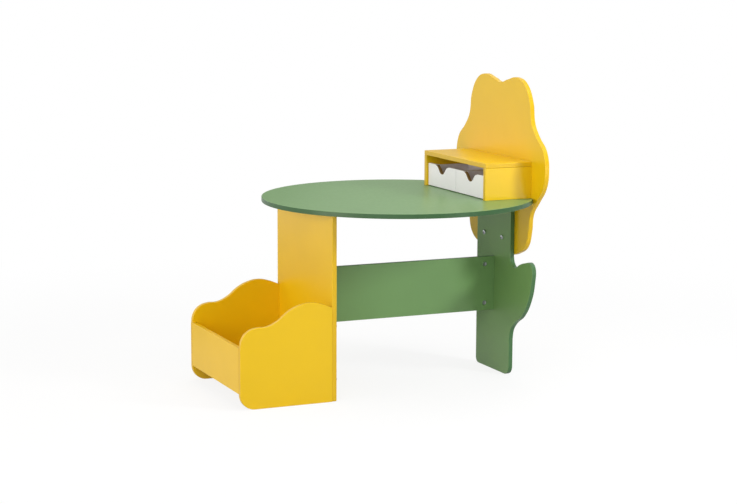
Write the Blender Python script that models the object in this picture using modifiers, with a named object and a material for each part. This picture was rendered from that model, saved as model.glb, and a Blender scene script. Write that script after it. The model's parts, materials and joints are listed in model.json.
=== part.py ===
"""Children's activity table in painted board.

A round top stands on two board legs: a wide one that carries an open toy bin on its outer side,
and a narrow one cut as a stem with a leaf. A rail ties the legs together. Behind the narrow leg
rises a petal-shaped backboard, and a small shelf with two loose drawers stands in front of it.
Metres, +Z up, origin on the floor in the middle of the table. The bin is at -X, the backboard
at +X, and the leaf points to -Y.
"""
import math

import bmesh
import bpy
from mathutils import Matrix, Vector

# Boards and how they meet
BOARD = 0.012
FIT = 0.0003
EDGE_ROUND = 0.0018
EDGE_STEPS = 2
CURVE_STEPS = 3
CORNER_STEPS = 5

# Round top
TABLE_HEIGHT = 0.480
TOP_RADIUS = 0.350
TOP_SETBACK = 0.294
TOP_STEPS = 64

# Legs and the rail between them
LEG_SPAN = 0.529
BIN_LEG_WIDTH = 0.374
BIN_LEG_CORNER = 0.004
STEM_WIDTH = 0.189
STEM_NEAR_CORNER = 0.025
STEM_FAR_CORNER = 0.015
RAIL_BOTTOM = 0.162
RAIL_HEIGHT = 0.144

# Leaf on the stem: distance out from the stem's edge, height above the floor
LEAF_TOP = 0.318
LEAF_FOOT = 0.098
LEAF_CURVE = (
    (0.0065, 0.300),
    (0.0255, 0.291),
    (0.048, 0.302),
    (0.080, 0.312),
    (0.106, 0.3145),
    (0.1185, 0.301),
    (0.1175, 0.269),
    (0.1015, 0.218),
    (0.066, 0.170),
    (0.026, 0.144),
    (0.006, 0.122),
)

# Toy bin: side profile as distance out from the leg, height above the floor
BIN_DEPTH = 0.241
BIN_FRONT_BOTTOM = 0.0385
BIN_FRONT_HEIGHT = 0.1135
BIN_TOE_RADIUS = 0.038
BIN_SIDE_BACK_HEIGHT = 0.2375
BIN_SIDE_SHOULDER = 0.148
BIN_SIDE_CURVE = (
    (0.026, 0.2478),
    (0.056, 0.2535),
    (0.086, 0.2488),
    (0.112, 0.237),
    (0.145, 0.2122),
    (0.171, 0.2018),
    (0.198, 0.2008),
    (0.220, 0.1932),
    (0.2358, 0.1745),
)

# Backboard: half outline as distance from the middle, height above the tabletop
BACKBOARD_CURVE = (
    (0.000, 0.286),
    (0.040, 0.295),
    (0.088, 0.303),
    (0.132, 0.288),
    (0.163, 0.245),
    (0.175, 0.191),
    (0.199, 0.160),
    (0.239, 0.124),
    (0.251, 0.074),
    (0.240, 0.030),
    (0.207, -0.008),
    (0.176, -0.044),
    (0.169, -0.085),
    (0.153, -0.128),
    (0.112, -0.152),
    (0.059, -0.164),
    (0.000, -0.168),
)

# Shelf on the tabletop
SHELF_DEPTH = 0.132
SHELF_WIDTH = 0.358
SHELF_HEIGHT = 0.094

# Loose drawers
DRAWER_BOARD = 0.009
DRAWER_SIDE_GAP = 0.002
DRAWER_RECESS = 0.006
DRAWER_BACK_GAP = 0.002
DRAWER_FRONT_HEIGHT = 0.061
DRAWER_FRONT_LIFT = 0.0018
DRAWER_SIDE_HEIGHT = 0.056
DRAWER_BASE = 0.003
DRAWER_BASE_LIFT = 0.005
DRAWER_GROOVE = 0.004
DRAWER_EDGE_ROUND = 0.001
NOTCH_WIDTH = 0.084
NOTCH_DEPTH = 0.022
NOTCH_CURVE = ((0.76, 0.08), (0.58, 0.26), (0.42, 0.56), (0.24, 0.88))

# Cam locks and the bolts that they pull on
LOCK_RADIUS = 0.006
LOCK_DEPTH = 0.010
LOCK_SETBACK = 0.028
LOCK_RECESS_LENGTH = 0.007
LOCK_RECESS_WIDTH = 0.0014
LOCK_RECESS_DEPTH = 0.0016
CAM_BOLT_SCREW_RADIUS = 0.0027
CAM_BOLT_SCREW_LENGTH = 0.008
CAM_BOLT_SHANK_RADIUS = 0.0024
CAM_BOLT_NECK_RADIUS = 0.0015
CAM_BOLT_HEAD_RADIUS = 0.0030
CAM_BOLT_HEAD_LENGTH = 0.003
LOCK_STEPS = 16
ROUND_STEPS = 10

# Dowels, wood screws and the two machine bolts
DOWEL_RADIUS = 0.003
DOWEL_SHALLOW = 0.008
DOWEL_DEEP = 0.017
SCREW_HEAD_RADIUS = 0.0038
SCREW_HEAD_HEIGHT = 0.0026
SCREW_SHANK_RADIUS = 0.0019
SCREW_LENGTH = 0.034
BIN_SCREW_HEAD_RADIUS = 0.0048
BIN_SCREW_HEAD_HEIGHT = 0.0016
BIN_SCREW_HEAD_SLOPE = 0.002
BIN_SCREW_RIM = 0.0007
BIN_SCREW_SHANK_RADIUS = 0.0025
BIN_SCREW_LENGTH = 0.045
BOLT_HEAD_RADIUS = 0.006
BOLT_HEAD_HEIGHT = 0.0045
BOLT_HEAD_CHAMFER = 0.0009
BOLT_SHANK_RADIUS = 0.003
BOLT_IN_BACKBOARD = 0.009
BOLT_SOCKET_RADIUS = 0.0023
BOLT_SOCKET_DEPTH = 0.0025
NUT_RADIUS = 0.0048
NUT_LENGTH = 0.010

# Where the fasteners sit
RAIL_LOCK_INSET = 0.020
BIN_LEG_LOCK_Y = 0.110
BIN_LEG_DOWEL_Y = 0.055
STEM_LOCK_Y = 0.060
BACKBOARD_BOLT_Y = 0.050
BACKBOARD_BOLT_DROP = 0.1175
BIN_SCREW_HEIGHTS = (0.056, 0.190)
BIN_FRONT_LOCK_RISE = 0.040
BIN_FRONT_DOWEL_RISE = 0.085
SHELF_BACK_SCREW_RISES = (0.020, 0.062)
SHELF_FOOT_SCREW_INSET = 0.030
SHELF_DOWEL_INSET = 0.032

# Planes that the boards share
TABLE_LENGTH = BIN_DEPTH + BOARD + LEG_SPAN + BOARD + FIT + BOARD
REAR_X = TABLE_LENGTH / 2
BACK_X = REAR_X - BOARD
STEM_OUT_X = BACK_X - FIT
STEM_IN_X = STEM_OUT_X - BOARD
BIN_LEG_IN_X = STEM_IN_X - LEG_SPAN
BIN_LEG_OUT_X = BIN_LEG_IN_X - BOARD
BIN_FRONT_X = BIN_LEG_OUT_X - BIN_DEPTH
TOP_UNDERSIDE = TABLE_HEIGHT - BOARD
LEG_TOP = TOP_UNDERSIDE - FIT
STEM_EDGE_Y = STEM_WIDTH / 2
BIN_EDGE_Y = BIN_LEG_WIDTH / 2
BIN_SIDE_Y = BIN_EDGE_Y - BOARD / 2
BIN_INNER_Y = BIN_EDGE_Y - BOARD
SHELF_EDGE_Y = SHELF_WIDTH / 2
SHELF_SIDE_Y = SHELF_EDGE_Y - BOARD / 2
SHELF_FRONT_X = BACK_X - SHELF_DEPTH
SHELF_TOP = TABLE_HEIGHT + SHELF_HEIGHT
SHELF_SIDE_TOP = SHELF_TOP - BOARD - FIT
DRAWER_WIDTH = (SHELF_WIDTH - 2 * BOARD - 3 * DRAWER_SIDE_GAP) / 2
DRAWER_LENGTH = SHELF_DEPTH - DRAWER_RECESS - DRAWER_BACK_GAP

# Finishes: colour as it looks, roughness, metallic
YELLOW = ("#f0c030", 0.38, 0.0)
GREEN = ("#6f9669", 0.38, 0.0)
WHITE = ("#dcdad6", 0.42, 0.0)
TAUPE = ("#9a8a78", 0.60, 0.0)
ZINC = ("#b9bcc0", 0.30, 1.0)

ACROSS = {
    "X": (math.pi / 2, 0.0, math.pi / 2),
    "Y": (math.pi / 2, 0.0, 0.0),
    "Z": (0.0, 0.0, 0.0),
}
SHARP_ANGLE = math.radians(35)
SAME_POINT = 0.00001
ON_PLANE = 0.00002


# Scene and collections

def clear_scene():
    for obj in list(bpy.data.objects):
        bpy.data.objects.remove(obj, do_unlink=True)


def new_collection(name):
    collection = bpy.data.collections.new(name)
    bpy.context.scene.collection.children.link(collection)
    return collection


# Finishes

def linear(hex_colour):
    channels = []
    for start in (1, 3, 5):
        value = int(hex_colour[start:start + 2], 16) / 255
        channels.append(value / 12.92 if value <= 0.04045 else ((value + 0.055) / 1.055) ** 2.4)
    return (*channels, 1.0)


def paint(obj, finish):
    """Give a piece its own Principled material."""
    colour, roughness, metallic = finish
    material = bpy.data.materials.new(obj.name)
    material.use_nodes = True
    shader = material.node_tree.nodes["Principled BSDF"]
    shader.inputs["Base Color"].default_value = linear(colour)
    shader.inputs["Roughness"].default_value = roughness
    shader.inputs["Metallic"].default_value = metallic
    material.diffuse_color = linear(colour)
    obj.data.materials.clear()
    obj.data.materials.append(material)


def add_part(name, mesh, finish):
    obj = bpy.data.objects.new(name, mesh)
    TABLE.objects.link(obj)
    paint(obj, finish)
    return obj


# Boards

def evaluated_mesh(obj):
    """Mesh of an object with its modifiers, welded, without changing the object."""
    bpy.context.view_layer.update()
    graph = bpy.context.evaluated_depsgraph_get()
    mesh = bpy.data.meshes.new_from_object(obj.evaluated_get(graph), depsgraph=graph)
    bm = bmesh.new()
    bm.from_mesh(mesh)
    bmesh.ops.remove_doubles(bm, verts=bm.verts, dist=SAME_POINT)
    bmesh.ops.recalc_face_normals(bm, faces=bm.faces)
    bm.to_mesh(mesh)
    bm.free()
    return mesh


def fillet(before, corner, after, radius):
    """Points of the arc that rounds a corner between two straight edges."""
    tip = Vector(corner)
    to_before = (Vector(before) - tip).normalized()
    to_after = (Vector(after) - tip).normalized()
    half = to_before.angle(to_after) / 2
    centre = tip + (to_before + to_after).normalized() * radius / math.sin(half)
    start = tip + to_before * radius / math.tan(half) - centre
    end = tip + to_after * radius / math.tan(half) - centre
    turn = start.angle_signed(end)
    points = []
    for step in range(CORNER_STEPS + 1):
        point = centre + Matrix.Rotation(-turn * step / CORNER_STEPS, 2) @ start
        points.append((point.x, point.y))
    return points


def sharp(points):
    """Outline points joined by straight lines."""
    return [(u, v, "VECTOR") for u, v in points]


def smooth(points):
    """Outline points joined by an even curve."""
    return [(u, v, "AUTO") for u, v in points]


def outline_board(name, outline, across, middle, thickness, finish):
    """Board cut to an outline. `across` is the axis through its thickness, `middle` its mid-plane."""
    curve = bpy.data.curves.new(name, "CURVE")
    curve.dimensions = "2D"
    curve.fill_mode = "BOTH"
    curve.extrude = thickness / 2
    curve.resolution_u = CURVE_STEPS
    spline = curve.splines.new("BEZIER")
    spline.bezier_points.add(len(outline) - 1)
    for point, (u, v, _) in zip(spline.bezier_points, outline):
        point.co = (u, v, 0)
    for point, (_, _, handle) in zip(spline.bezier_points, outline):
        point.handle_left_type = handle
        point.handle_right_type = handle
    spline.use_cyclic_u = True
    guide = bpy.data.objects.new(name + "_outline", curve)
    guide.rotation_euler = ACROSS[across]
    guide.location["XYZ".index(across)] = middle
    TABLE.objects.link(guide)
    mesh = evaluated_mesh(guide)
    board = add_part(name, mesh, finish)
    board.matrix_world = guide.matrix_world
    bpy.data.objects.remove(guide, do_unlink=True)
    return board


def box_board(name, low, high, finish):
    """Board between two corners, with its origin in its middle."""
    low, high = Vector(low), Vector(high)
    mesh = bpy.data.meshes.new(name)
    bm = bmesh.new()
    bmesh.ops.create_cube(bm, size=1)
    bmesh.ops.scale(bm, verts=bm.verts, vec=high - low)
    bm.to_mesh(mesh)
    bm.free()
    board = add_part(name, mesh, finish)
    board.location = (low + high) / 2
    return board


def round_edges(board, radius=EDGE_ROUND, square=()):
    """Round a board's sharp edges, except those in the `square` planes, where it meets a neighbour."""
    bpy.context.view_layer.update()
    bm = bmesh.new()
    bm.from_mesh(board.data)
    weight = bm.edges.layers.float.new("bevel_weight_edge")
    place = board.matrix_world
    for edge in bm.edges:
        if len(edge.link_faces) != 2 or edge.calc_face_angle() < SHARP_ANGLE:
            continue
        ends = [place @ vert.co for vert in edge.verts]
        meets = any(all(abs(end["XYZ".index(axis)] - value) < ON_PLANE for end in ends)
                    for axis, value in square)
        edge[weight] = 0.0 if meets else 1.0
    bm.to_mesh(board.data)
    bm.free()
    bevel = board.modifiers.new("Rounded edges", "BEVEL")
    bevel.limit_method = "WEIGHT"
    bevel.width = radius
    bevel.segments = EDGE_STEPS
    board.data.shade_smooth()
    board.data.set_sharp_from_angle(angle=SHARP_ANGLE)


def cut_with(board, mesh, name, operation="DIFFERENCE"):
    """Cut a board with a closed mesh given in world coordinates, or join the two with UNION."""
    cutter = bpy.data.objects.new(name, mesh)
    CUTTERS.objects.link(cutter)
    cutter.hide_render = True
    cutter.display_type = "WIRE"
    cut = board.modifiers.new(name, "BOOLEAN")
    cut.operation = operation
    cut.object = cutter


def cut_box(board, low, high, name):
    low, high = Vector(low), Vector(high)
    mesh = bpy.data.meshes.new(name)
    bm = bmesh.new()
    bmesh.ops.create_cube(bm, size=1)
    bmesh.ops.scale(bm, verts=bm.verts, vec=high - low)
    bmesh.ops.translate(bm, verts=bm.verts, vec=(low + high) / 2)
    bm.to_mesh(mesh)
    bm.free()
    cut_with(board, mesh, name)


# Fasteners

def place(point, axis, side=None):
    """Matrix that carries local +Z to `axis` and local +X to `side`, at `point`."""
    z = Vector(axis).normalized()
    x = Vector(side).normalized() if side else z.orthogonal().normalized()
    y = z.cross(x)
    return Matrix.Translation(point) @ Matrix((x, y, z)).transposed().to_4x4()


def turned(name, profile, steps=ROUND_STEPS):
    """Mesh turned about local Z from a profile of (radius, height), listed from top to bottom."""
    mesh = bpy.data.meshes.new(name)
    corners = [(radius, 0, height) for radius, height in profile]
    mesh.from_pydata(corners, [(i, i + 1) for i in range(len(corners) - 1)], [])
    blank = bpy.data.objects.new(name, mesh)
    CUTTERS.objects.link(blank)
    screw = blank.modifiers.new("Turn", "SCREW")
    screw.steps = steps
    screw.render_steps = steps
    screw.use_merge_vertices = True
    screw.merge_threshold = SAME_POINT
    solid = evaluated_mesh(blank)
    bpy.data.objects.remove(blank, do_unlink=True)
    return solid


def cylinder_profile(radius, top, bottom):
    return [(0, top), (radius, top), (radius, bottom), (0, bottom)]


def copies(name, mesh, places):
    """One mesh that holds a copy of `mesh` at each place."""
    joined = bpy.data.meshes.new(name)
    bm = bmesh.new()
    for matrix in places:
        first = len(bm.verts)
        bm.from_mesh(mesh)
        bm.verts.ensure_lookup_table()
        bmesh.ops.transform(bm, matrix=matrix, verts=bm.verts[first:])
    bm.to_mesh(joined)
    bm.free()
    return joined


def fasteners(name, mesh, places, finish):
    """Identical fasteners, numbered in the order of their places."""
    for number, matrix in enumerate(places, 1):
        piece = add_part(f"{name}_{number}", mesh.copy(), finish)
        piece.matrix_world = matrix
        piece.data.shade_smooth()
        piece.data.set_sharp_from_angle(angle=SHARP_ANGLE)


def drill(board, name, profile, places, steps=ROUND_STEPS):
    cut_with(board, copies(name, turned(name, profile, steps), places), name)


def lock_mesh():
    """Cam lock: face at the origin, outward +Z, with the bolt's mouth towards +X.

    The face lies FIT below the board's, so the mouth lies that much less than half a board deep.
    """
    mesh = turned("lock_body", cylinder_profile(LOCK_RADIUS, 0, -LOCK_DEPTH), LOCK_STEPS)
    body = bpy.data.objects.new("lock_body", mesh)
    CUTTERS.objects.link(body)
    mouth = turned("lock_mouth", cylinder_profile(CAM_BOLT_HEAD_RADIUS + FIT, 2 * LOCK_RADIUS,
                                                  -CAM_BOLT_HEAD_LENGTH / 2 - FIT))
    mouth.transform(place((0, 0, FIT - BOARD / 2), (1, 0, 0)))
    cut_with(body, mouth, "lock_mouth")
    half_length, half_width = LOCK_RECESS_LENGTH / 2, LOCK_RECESS_WIDTH / 2
    arms = (("recess_x", half_length, half_width), ("recess_y", half_width, half_length))
    for name, half_x, half_y in arms:
        cut_box(body, (-half_x, -half_y, -LOCK_RECESS_DEPTH), (half_x, half_y, LOCK_DEPTH), name)
    finished = evaluated_mesh(body)
    for modifier in list(body.modifiers):
        bpy.data.objects.remove(modifier.object, do_unlink=True)
    bpy.data.objects.remove(body, do_unlink=True)
    return finished


def cam_bolt_profile():
    """Cam bolt standing on the face that it is screwed into, which is height 0."""
    head_top = LOCK_SETBACK + CAM_BOLT_HEAD_LENGTH / 2
    neck_top = head_top - CAM_BOLT_HEAD_LENGTH
    neck_foot = LOCK_SETBACK - LOCK_RADIUS
    return [
        (0, head_top),
        (CAM_BOLT_HEAD_RADIUS, head_top),
        (CAM_BOLT_HEAD_RADIUS, neck_top),
        (CAM_BOLT_NECK_RADIUS, neck_top),
        (CAM_BOLT_NECK_RADIUS, neck_foot),
        (CAM_BOLT_SHANK_RADIUS, neck_foot),
        (CAM_BOLT_SHANK_RADIUS, FIT),
        (CAM_BOLT_SCREW_RADIUS, 0),
        (CAM_BOLT_SCREW_RADIUS, -CAM_BOLT_SCREW_LENGTH),
        (0, -CAM_BOLT_SCREW_LENGTH),
    ]


def cam_joint(lock_board, bolt_board, name, joints):
    """Drill for cam locks and return where the locks and the bolts sit.

    Each joint is the point where the bolt crosses the seam, the direction from the bolt's board
    into the lock's board, and the outward direction of the face that the lock is let into.
    """
    locks, bolts, pockets, shafts = [], [], [], []
    for seam, into, outward in joints:
        into, outward = Vector(into), Vector(outward)
        face = Vector(seam) + into * LOCK_SETBACK + outward * BOARD / 2
        locks.append(place(face - outward * FIT, outward, -into))
        bolts.append(place(seam, into))
        pockets.append(place(face, outward))
        shafts.append(place(seam, into))
    pocket = cylinder_profile(LOCK_RADIUS + FIT, BOARD, -LOCK_DEPTH - 2 * FIT)
    shaft = cylinder_profile(CAM_BOLT_HEAD_RADIUS + FIT, LOCK_SETBACK, -BOARD)
    thread = cylinder_profile(CAM_BOLT_SCREW_RADIUS + FIT, BOARD, -CAM_BOLT_SCREW_LENGTH - FIT)
    drill(lock_board, name + "_pockets", pocket, pockets, LOCK_STEPS)
    drill(lock_board, name + "_shafts", shaft, shafts)
    drill(bolt_board, name + "_threads", thread, bolts)
    return locks, bolts


def dowel_joint(board, neighbour, name, joints):
    """Dowels glued into the end of a board, and the holes that take them in its neighbour."""
    places = [place(seam, into) for seam, into in joints]
    dowel = turned(name, cylinder_profile(DOWEL_RADIUS, DOWEL_DEEP, -DOWEL_SHALLOW))
    cut_with(board, copies(name, dowel, places), name, "UNION")
    hole = cylinder_profile(DOWEL_RADIUS + FIT, BOARD, -DOWEL_SHALLOW - FIT)
    drill(neighbour, name + "_holes", hole, places)


def screw_profile():
    """Countersunk wood screw, with its head flush at height 0 and its tip down."""
    return [
        (0, 0),
        (SCREW_HEAD_RADIUS, 0),
        (SCREW_SHANK_RADIUS, -SCREW_HEAD_HEIGHT),
        (SCREW_SHANK_RADIUS, SCREW_SHANK_RADIUS - SCREW_LENGTH),
        (0, -SCREW_LENGTH),
    ]


def screw_hole_profile():
    """Room for a wood screw, open above its head."""
    head, shank = SCREW_HEAD_RADIUS + FIT, SCREW_SHANK_RADIUS + FIT
    return [
        (0, BOARD),
        (head, BOARD),
        (head, -FIT),
        (shank, -SCREW_HEAD_HEIGHT - FIT),
        (shank, SCREW_SHANK_RADIUS - SCREW_LENGTH),
        (0, -SCREW_LENGTH - FIT),
    ]


def bin_screw_profile():
    """Long screw whose low domed head stands on the face at height 0."""
    return [
        (0, BIN_SCREW_HEAD_HEIGHT),
        (BIN_SCREW_HEAD_RADIUS - BIN_SCREW_HEAD_SLOPE, BIN_SCREW_HEAD_HEIGHT),
        (BIN_SCREW_HEAD_RADIUS, BIN_SCREW_RIM),
        (BIN_SCREW_HEAD_RADIUS, FIT),
        (BIN_SCREW_SHANK_RADIUS, FIT),
        (BIN_SCREW_SHANK_RADIUS, BIN_SCREW_SHANK_RADIUS - BIN_SCREW_LENGTH),
        (0, -BIN_SCREW_LENGTH),
    ]


def bolt_profile():
    """Machine bolt with a chamfered head on the face at height 0 and a round socket in it."""
    socket_floor = BOLT_HEAD_HEIGHT - BOLT_SOCKET_DEPTH
    tip = -(BOARD + FIT + BOLT_IN_BACKBOARD)
    return [
        (0, socket_floor),
        (BOLT_SOCKET_RADIUS, socket_floor),
        (BOLT_SOCKET_RADIUS, BOLT_HEAD_HEIGHT),
        (BOLT_HEAD_RADIUS - BOLT_HEAD_CHAMFER, BOLT_HEAD_HEIGHT),
        (BOLT_HEAD_RADIUS, BOLT_HEAD_HEIGHT - BOLT_HEAD_CHAMFER),
        (BOLT_HEAD_RADIUS, FIT),
        (BOLT_SHANK_RADIUS, FIT),
        (BOLT_SHANK_RADIUS, tip),
        (0, tip),
    ]


def insert_nut_profile():
    """Threaded insert whose mouth is at height 0."""
    bore = BOLT_SHANK_RADIUS + FIT
    return [(bore, 0), (NUT_RADIUS, 0), (NUT_RADIUS, -NUT_LENGTH), (bore, -NUT_LENGTH), (bore, 0)]


# The table's own boards

def make_tabletop():
    """Round board cut straight where it meets the backboard."""
    half_chord_angle = math.acos((TOP_SETBACK - FIT) / TOP_RADIUS)
    centre_x = BACK_X - TOP_SETBACK
    rim = []
    for step in range(TOP_STEPS + 1):
        angle = half_chord_angle + (2 * math.pi - 2 * half_chord_angle) * step / TOP_STEPS
        rim.append((centre_x + TOP_RADIUS * math.cos(angle), TOP_RADIUS * math.sin(angle)))
    top = outline_board("tabletop", sharp(rim), "Z", TABLE_HEIGHT - BOARD / 2, BOARD, GREEN)
    round_edges(top, square=[("X", BACK_X - FIT)])
    return top


def make_bin_leg():
    """Wide leg that is also the back of the toy bin."""
    edge, corner = BIN_EDGE_Y, BIN_LEG_CORNER
    outline = [
        (-edge, LEG_TOP),
        *fillet((-edge, LEG_TOP), (-edge, 0), (edge, 0), corner),
        *fillet((-edge, 0), (edge, 0), (edge, LEG_TOP), corner),
        (edge, LEG_TOP),
    ]
    leg = outline_board("bin_leg_panel", sharp(outline), "X", BIN_LEG_OUT_X + BOARD / 2, BOARD, YELLOW)
    round_edges(leg, square=[("Z", LEG_TOP)])
    return leg


def make_stem_leg():
    """Narrow leg cut as a stem, with a leaf that curls out on the near side."""
    edge = STEM_EDGE_Y
    leaf = [(-edge - out, height) for out, height in LEAF_CURVE]
    outline = sharp([(-edge, LEG_TOP), (-edge, LEAF_TOP)])
    outline += smooth(leaf)
    outline += sharp([(-edge, LEAF_FOOT)])
    outline += sharp(fillet((-edge, LEAF_FOOT), (-edge, 0), (edge, 0), STEM_NEAR_CORNER))
    outline += sharp(fillet((-edge, 0), (edge, 0), (edge, LEG_TOP), STEM_FAR_CORNER))
    outline += sharp([(edge, LEG_TOP)])
    leg = outline_board("stem_leg_panel", outline, "X", STEM_IN_X + BOARD / 2, BOARD, GREEN)
    round_edges(leg, square=[("Z", LEG_TOP)])
    return leg


def make_rail():
    """Rail on edge between the two legs."""
    low = (BIN_LEG_IN_X + FIT, -BOARD / 2, RAIL_BOTTOM)
    high = (STEM_IN_X - FIT, BOARD / 2, RAIL_BOTTOM + RAIL_HEIGHT)
    rail = box_board("stretcher_rail", low, high, GREEN)
    round_edges(rail, square=[("X", low[0]), ("X", high[0])])
    return rail


def make_backboard():
    """Petal-shaped board behind the stem leg, the tabletop and the shelf."""
    right = [(out, TABLE_HEIGHT + rise) for out, rise in BACKBOARD_CURVE]
    left = [(-out, height) for out, height in reversed(right[1:-1])]
    board = outline_board("backboard", smooth(right + left), "X", BACK_X + BOARD / 2, BOARD, YELLOW)
    round_edges(board)
    return board


def make_bin_side(name, side):
    """Wavy side of the bin, which drops from the leg to a low front with a rounded toe."""
    def at(out, height):
        return (BIN_LEG_OUT_X - FIT - out, height)
    depth = BIN_DEPTH - FIT
    outline = sharp([at(0, 0), at(0, BIN_SIDE_BACK_HEIGHT)])
    outline += smooth([at(out, height) for out, height in BIN_SIDE_CURVE])
    outline += sharp([at(depth, BIN_SIDE_SHOULDER)])
    outline += sharp(fillet(at(depth, BIN_SIDE_SHOULDER), at(depth, 0), at(0, 0), BIN_TOE_RADIUS))
    board = outline_board(name, outline, "Y", side * BIN_SIDE_Y, BOARD, YELLOW)
    round_edges(board, square=[("X", BIN_LEG_OUT_X - FIT)])
    return board


def make_bin_front():
    """Low front of the bin, between the two sides."""
    inner = BIN_INNER_Y - FIT
    low = (BIN_FRONT_X, -inner, BIN_FRONT_BOTTOM)
    high = (BIN_FRONT_X + BOARD, inner, BIN_FRONT_BOTTOM + BIN_FRONT_HEIGHT)
    board = box_board("bin_front_panel", low, high, YELLOW)
    round_edges(board, square=[("Y", -inner), ("Y", inner)])
    return board


def make_bin_base():
    """Floor of the bin, level with the lower edge of its front."""
    inner = BIN_INNER_Y - FIT
    low = (BIN_FRONT_X + BOARD + FIT, -inner, BIN_FRONT_BOTTOM)
    high = (BIN_LEG_OUT_X - FIT, inner, BIN_FRONT_BOTTOM + BOARD)
    return box_board("bin_bottom_panel", low, high, YELLOW)


def make_shelf_top():
    low = (SHELF_FRONT_X, -SHELF_EDGE_Y, SHELF_TOP - BOARD)
    high = (BACK_X - FIT, SHELF_EDGE_Y, SHELF_TOP)
    board = box_board("shelf_top_panel", low, high, YELLOW)
    round_edges(board, square=[("X", high[0])])
    return board


def make_shelf_side(name, side):
    low = (SHELF_FRONT_X, side * SHELF_SIDE_Y - BOARD / 2, TABLE_HEIGHT + FIT)
    high = (BACK_X - FIT, side * SHELF_SIDE_Y + BOARD / 2, SHELF_SIDE_TOP)
    board = box_board(name, low, high, YELLOW)
    round_edges(board, square=[("X", high[0]), ("Z", low[2])])
    return board


# Drawers

def notch_points():
    """Finger notch in the top edge of a drawer front, as (across, height), from right to left."""
    half = NOTCH_WIDTH / 2
    right = [(half * across, DRAWER_FRONT_HEIGHT - NOTCH_DEPTH * down) for across, down in NOTCH_CURVE]
    left = [(-across, height) for across, height in reversed(right)]
    middle = (0, DRAWER_FRONT_HEIGHT - NOTCH_DEPTH)
    return (sharp([(half, DRAWER_FRONT_HEIGHT)]) + smooth([*right, middle, *left])
            + sharp([(-half, DRAWER_FRONT_HEIGHT)]))


def make_drawer_front(name):
    half = DRAWER_WIDTH / 2
    outline = sharp([
        (-half, DRAWER_FRONT_HEIGHT),
        (-half, DRAWER_FRONT_LIFT),
        (half, DRAWER_FRONT_LIFT),
        (half, DRAWER_FRONT_HEIGHT),
    ])
    outline += notch_points()
    front = outline_board(name + "_front", outline, "X", DRAWER_BOARD / 2, DRAWER_BOARD, WHITE)
    round_edges(front, DRAWER_EDGE_ROUND)
    return front


def make_drawer(name, centre_y):
    """Loose open box that slides on the tabletop. Its frame is on the tabletop, at its front."""
    half = DRAWER_WIDTH / 2
    inner = half - DRAWER_BOARD
    near_x = DRAWER_BOARD + FIT
    back_x = DRAWER_LENGTH - DRAWER_BOARD
    front = make_drawer_front(name)
    sides = []
    for word, low_y, high_y in (("left", -half, -inner), ("right", inner, half)):
        side = box_board(f"{name}_{word}_side", (near_x, low_y, FIT),
                         (DRAWER_LENGTH, high_y, DRAWER_SIDE_HEIGHT), WHITE)
        round_edges(side, DRAWER_EDGE_ROUND, square=[("X", near_x)])
        sides.append(side)
    back = box_board(name + "_back", (back_x, -inner + FIT, FIT),
                     (DRAWER_LENGTH, inner - FIT, DRAWER_SIDE_HEIGHT), WHITE)
    round_edges(back, DRAWER_EDGE_ROUND, square=[("Y", -inner + FIT), ("Y", inner - FIT)])
    reach = DRAWER_GROOVE - FIT
    base_low = Vector((DRAWER_BOARD - reach, -inner - reach, DRAWER_BASE_LIFT))
    base_high = Vector((back_x + reach, inner + reach, DRAWER_BASE_LIFT + DRAWER_BASE))
    base = box_board(name + "_base", base_low, base_high, TAUPE)

    frame = bpy.data.objects.new(name, None)
    TABLE.objects.link(frame)
    pieces = [front, *sides, back, base]
    bpy.context.view_layer.update()
    for piece in pieces:
        piece.parent = frame
    frame.location = (SHELF_FRONT_X + DRAWER_RECESS, centre_y, TABLE_HEIGHT)
    margin = Vector((FIT, FIT, FIT))
    for piece in pieces[:-1]:
        cut_box(piece, frame.location + base_low - margin, frame.location + base_high + margin,
                piece.name + "_groove")
    return pieces


# Joining the boards

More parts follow.
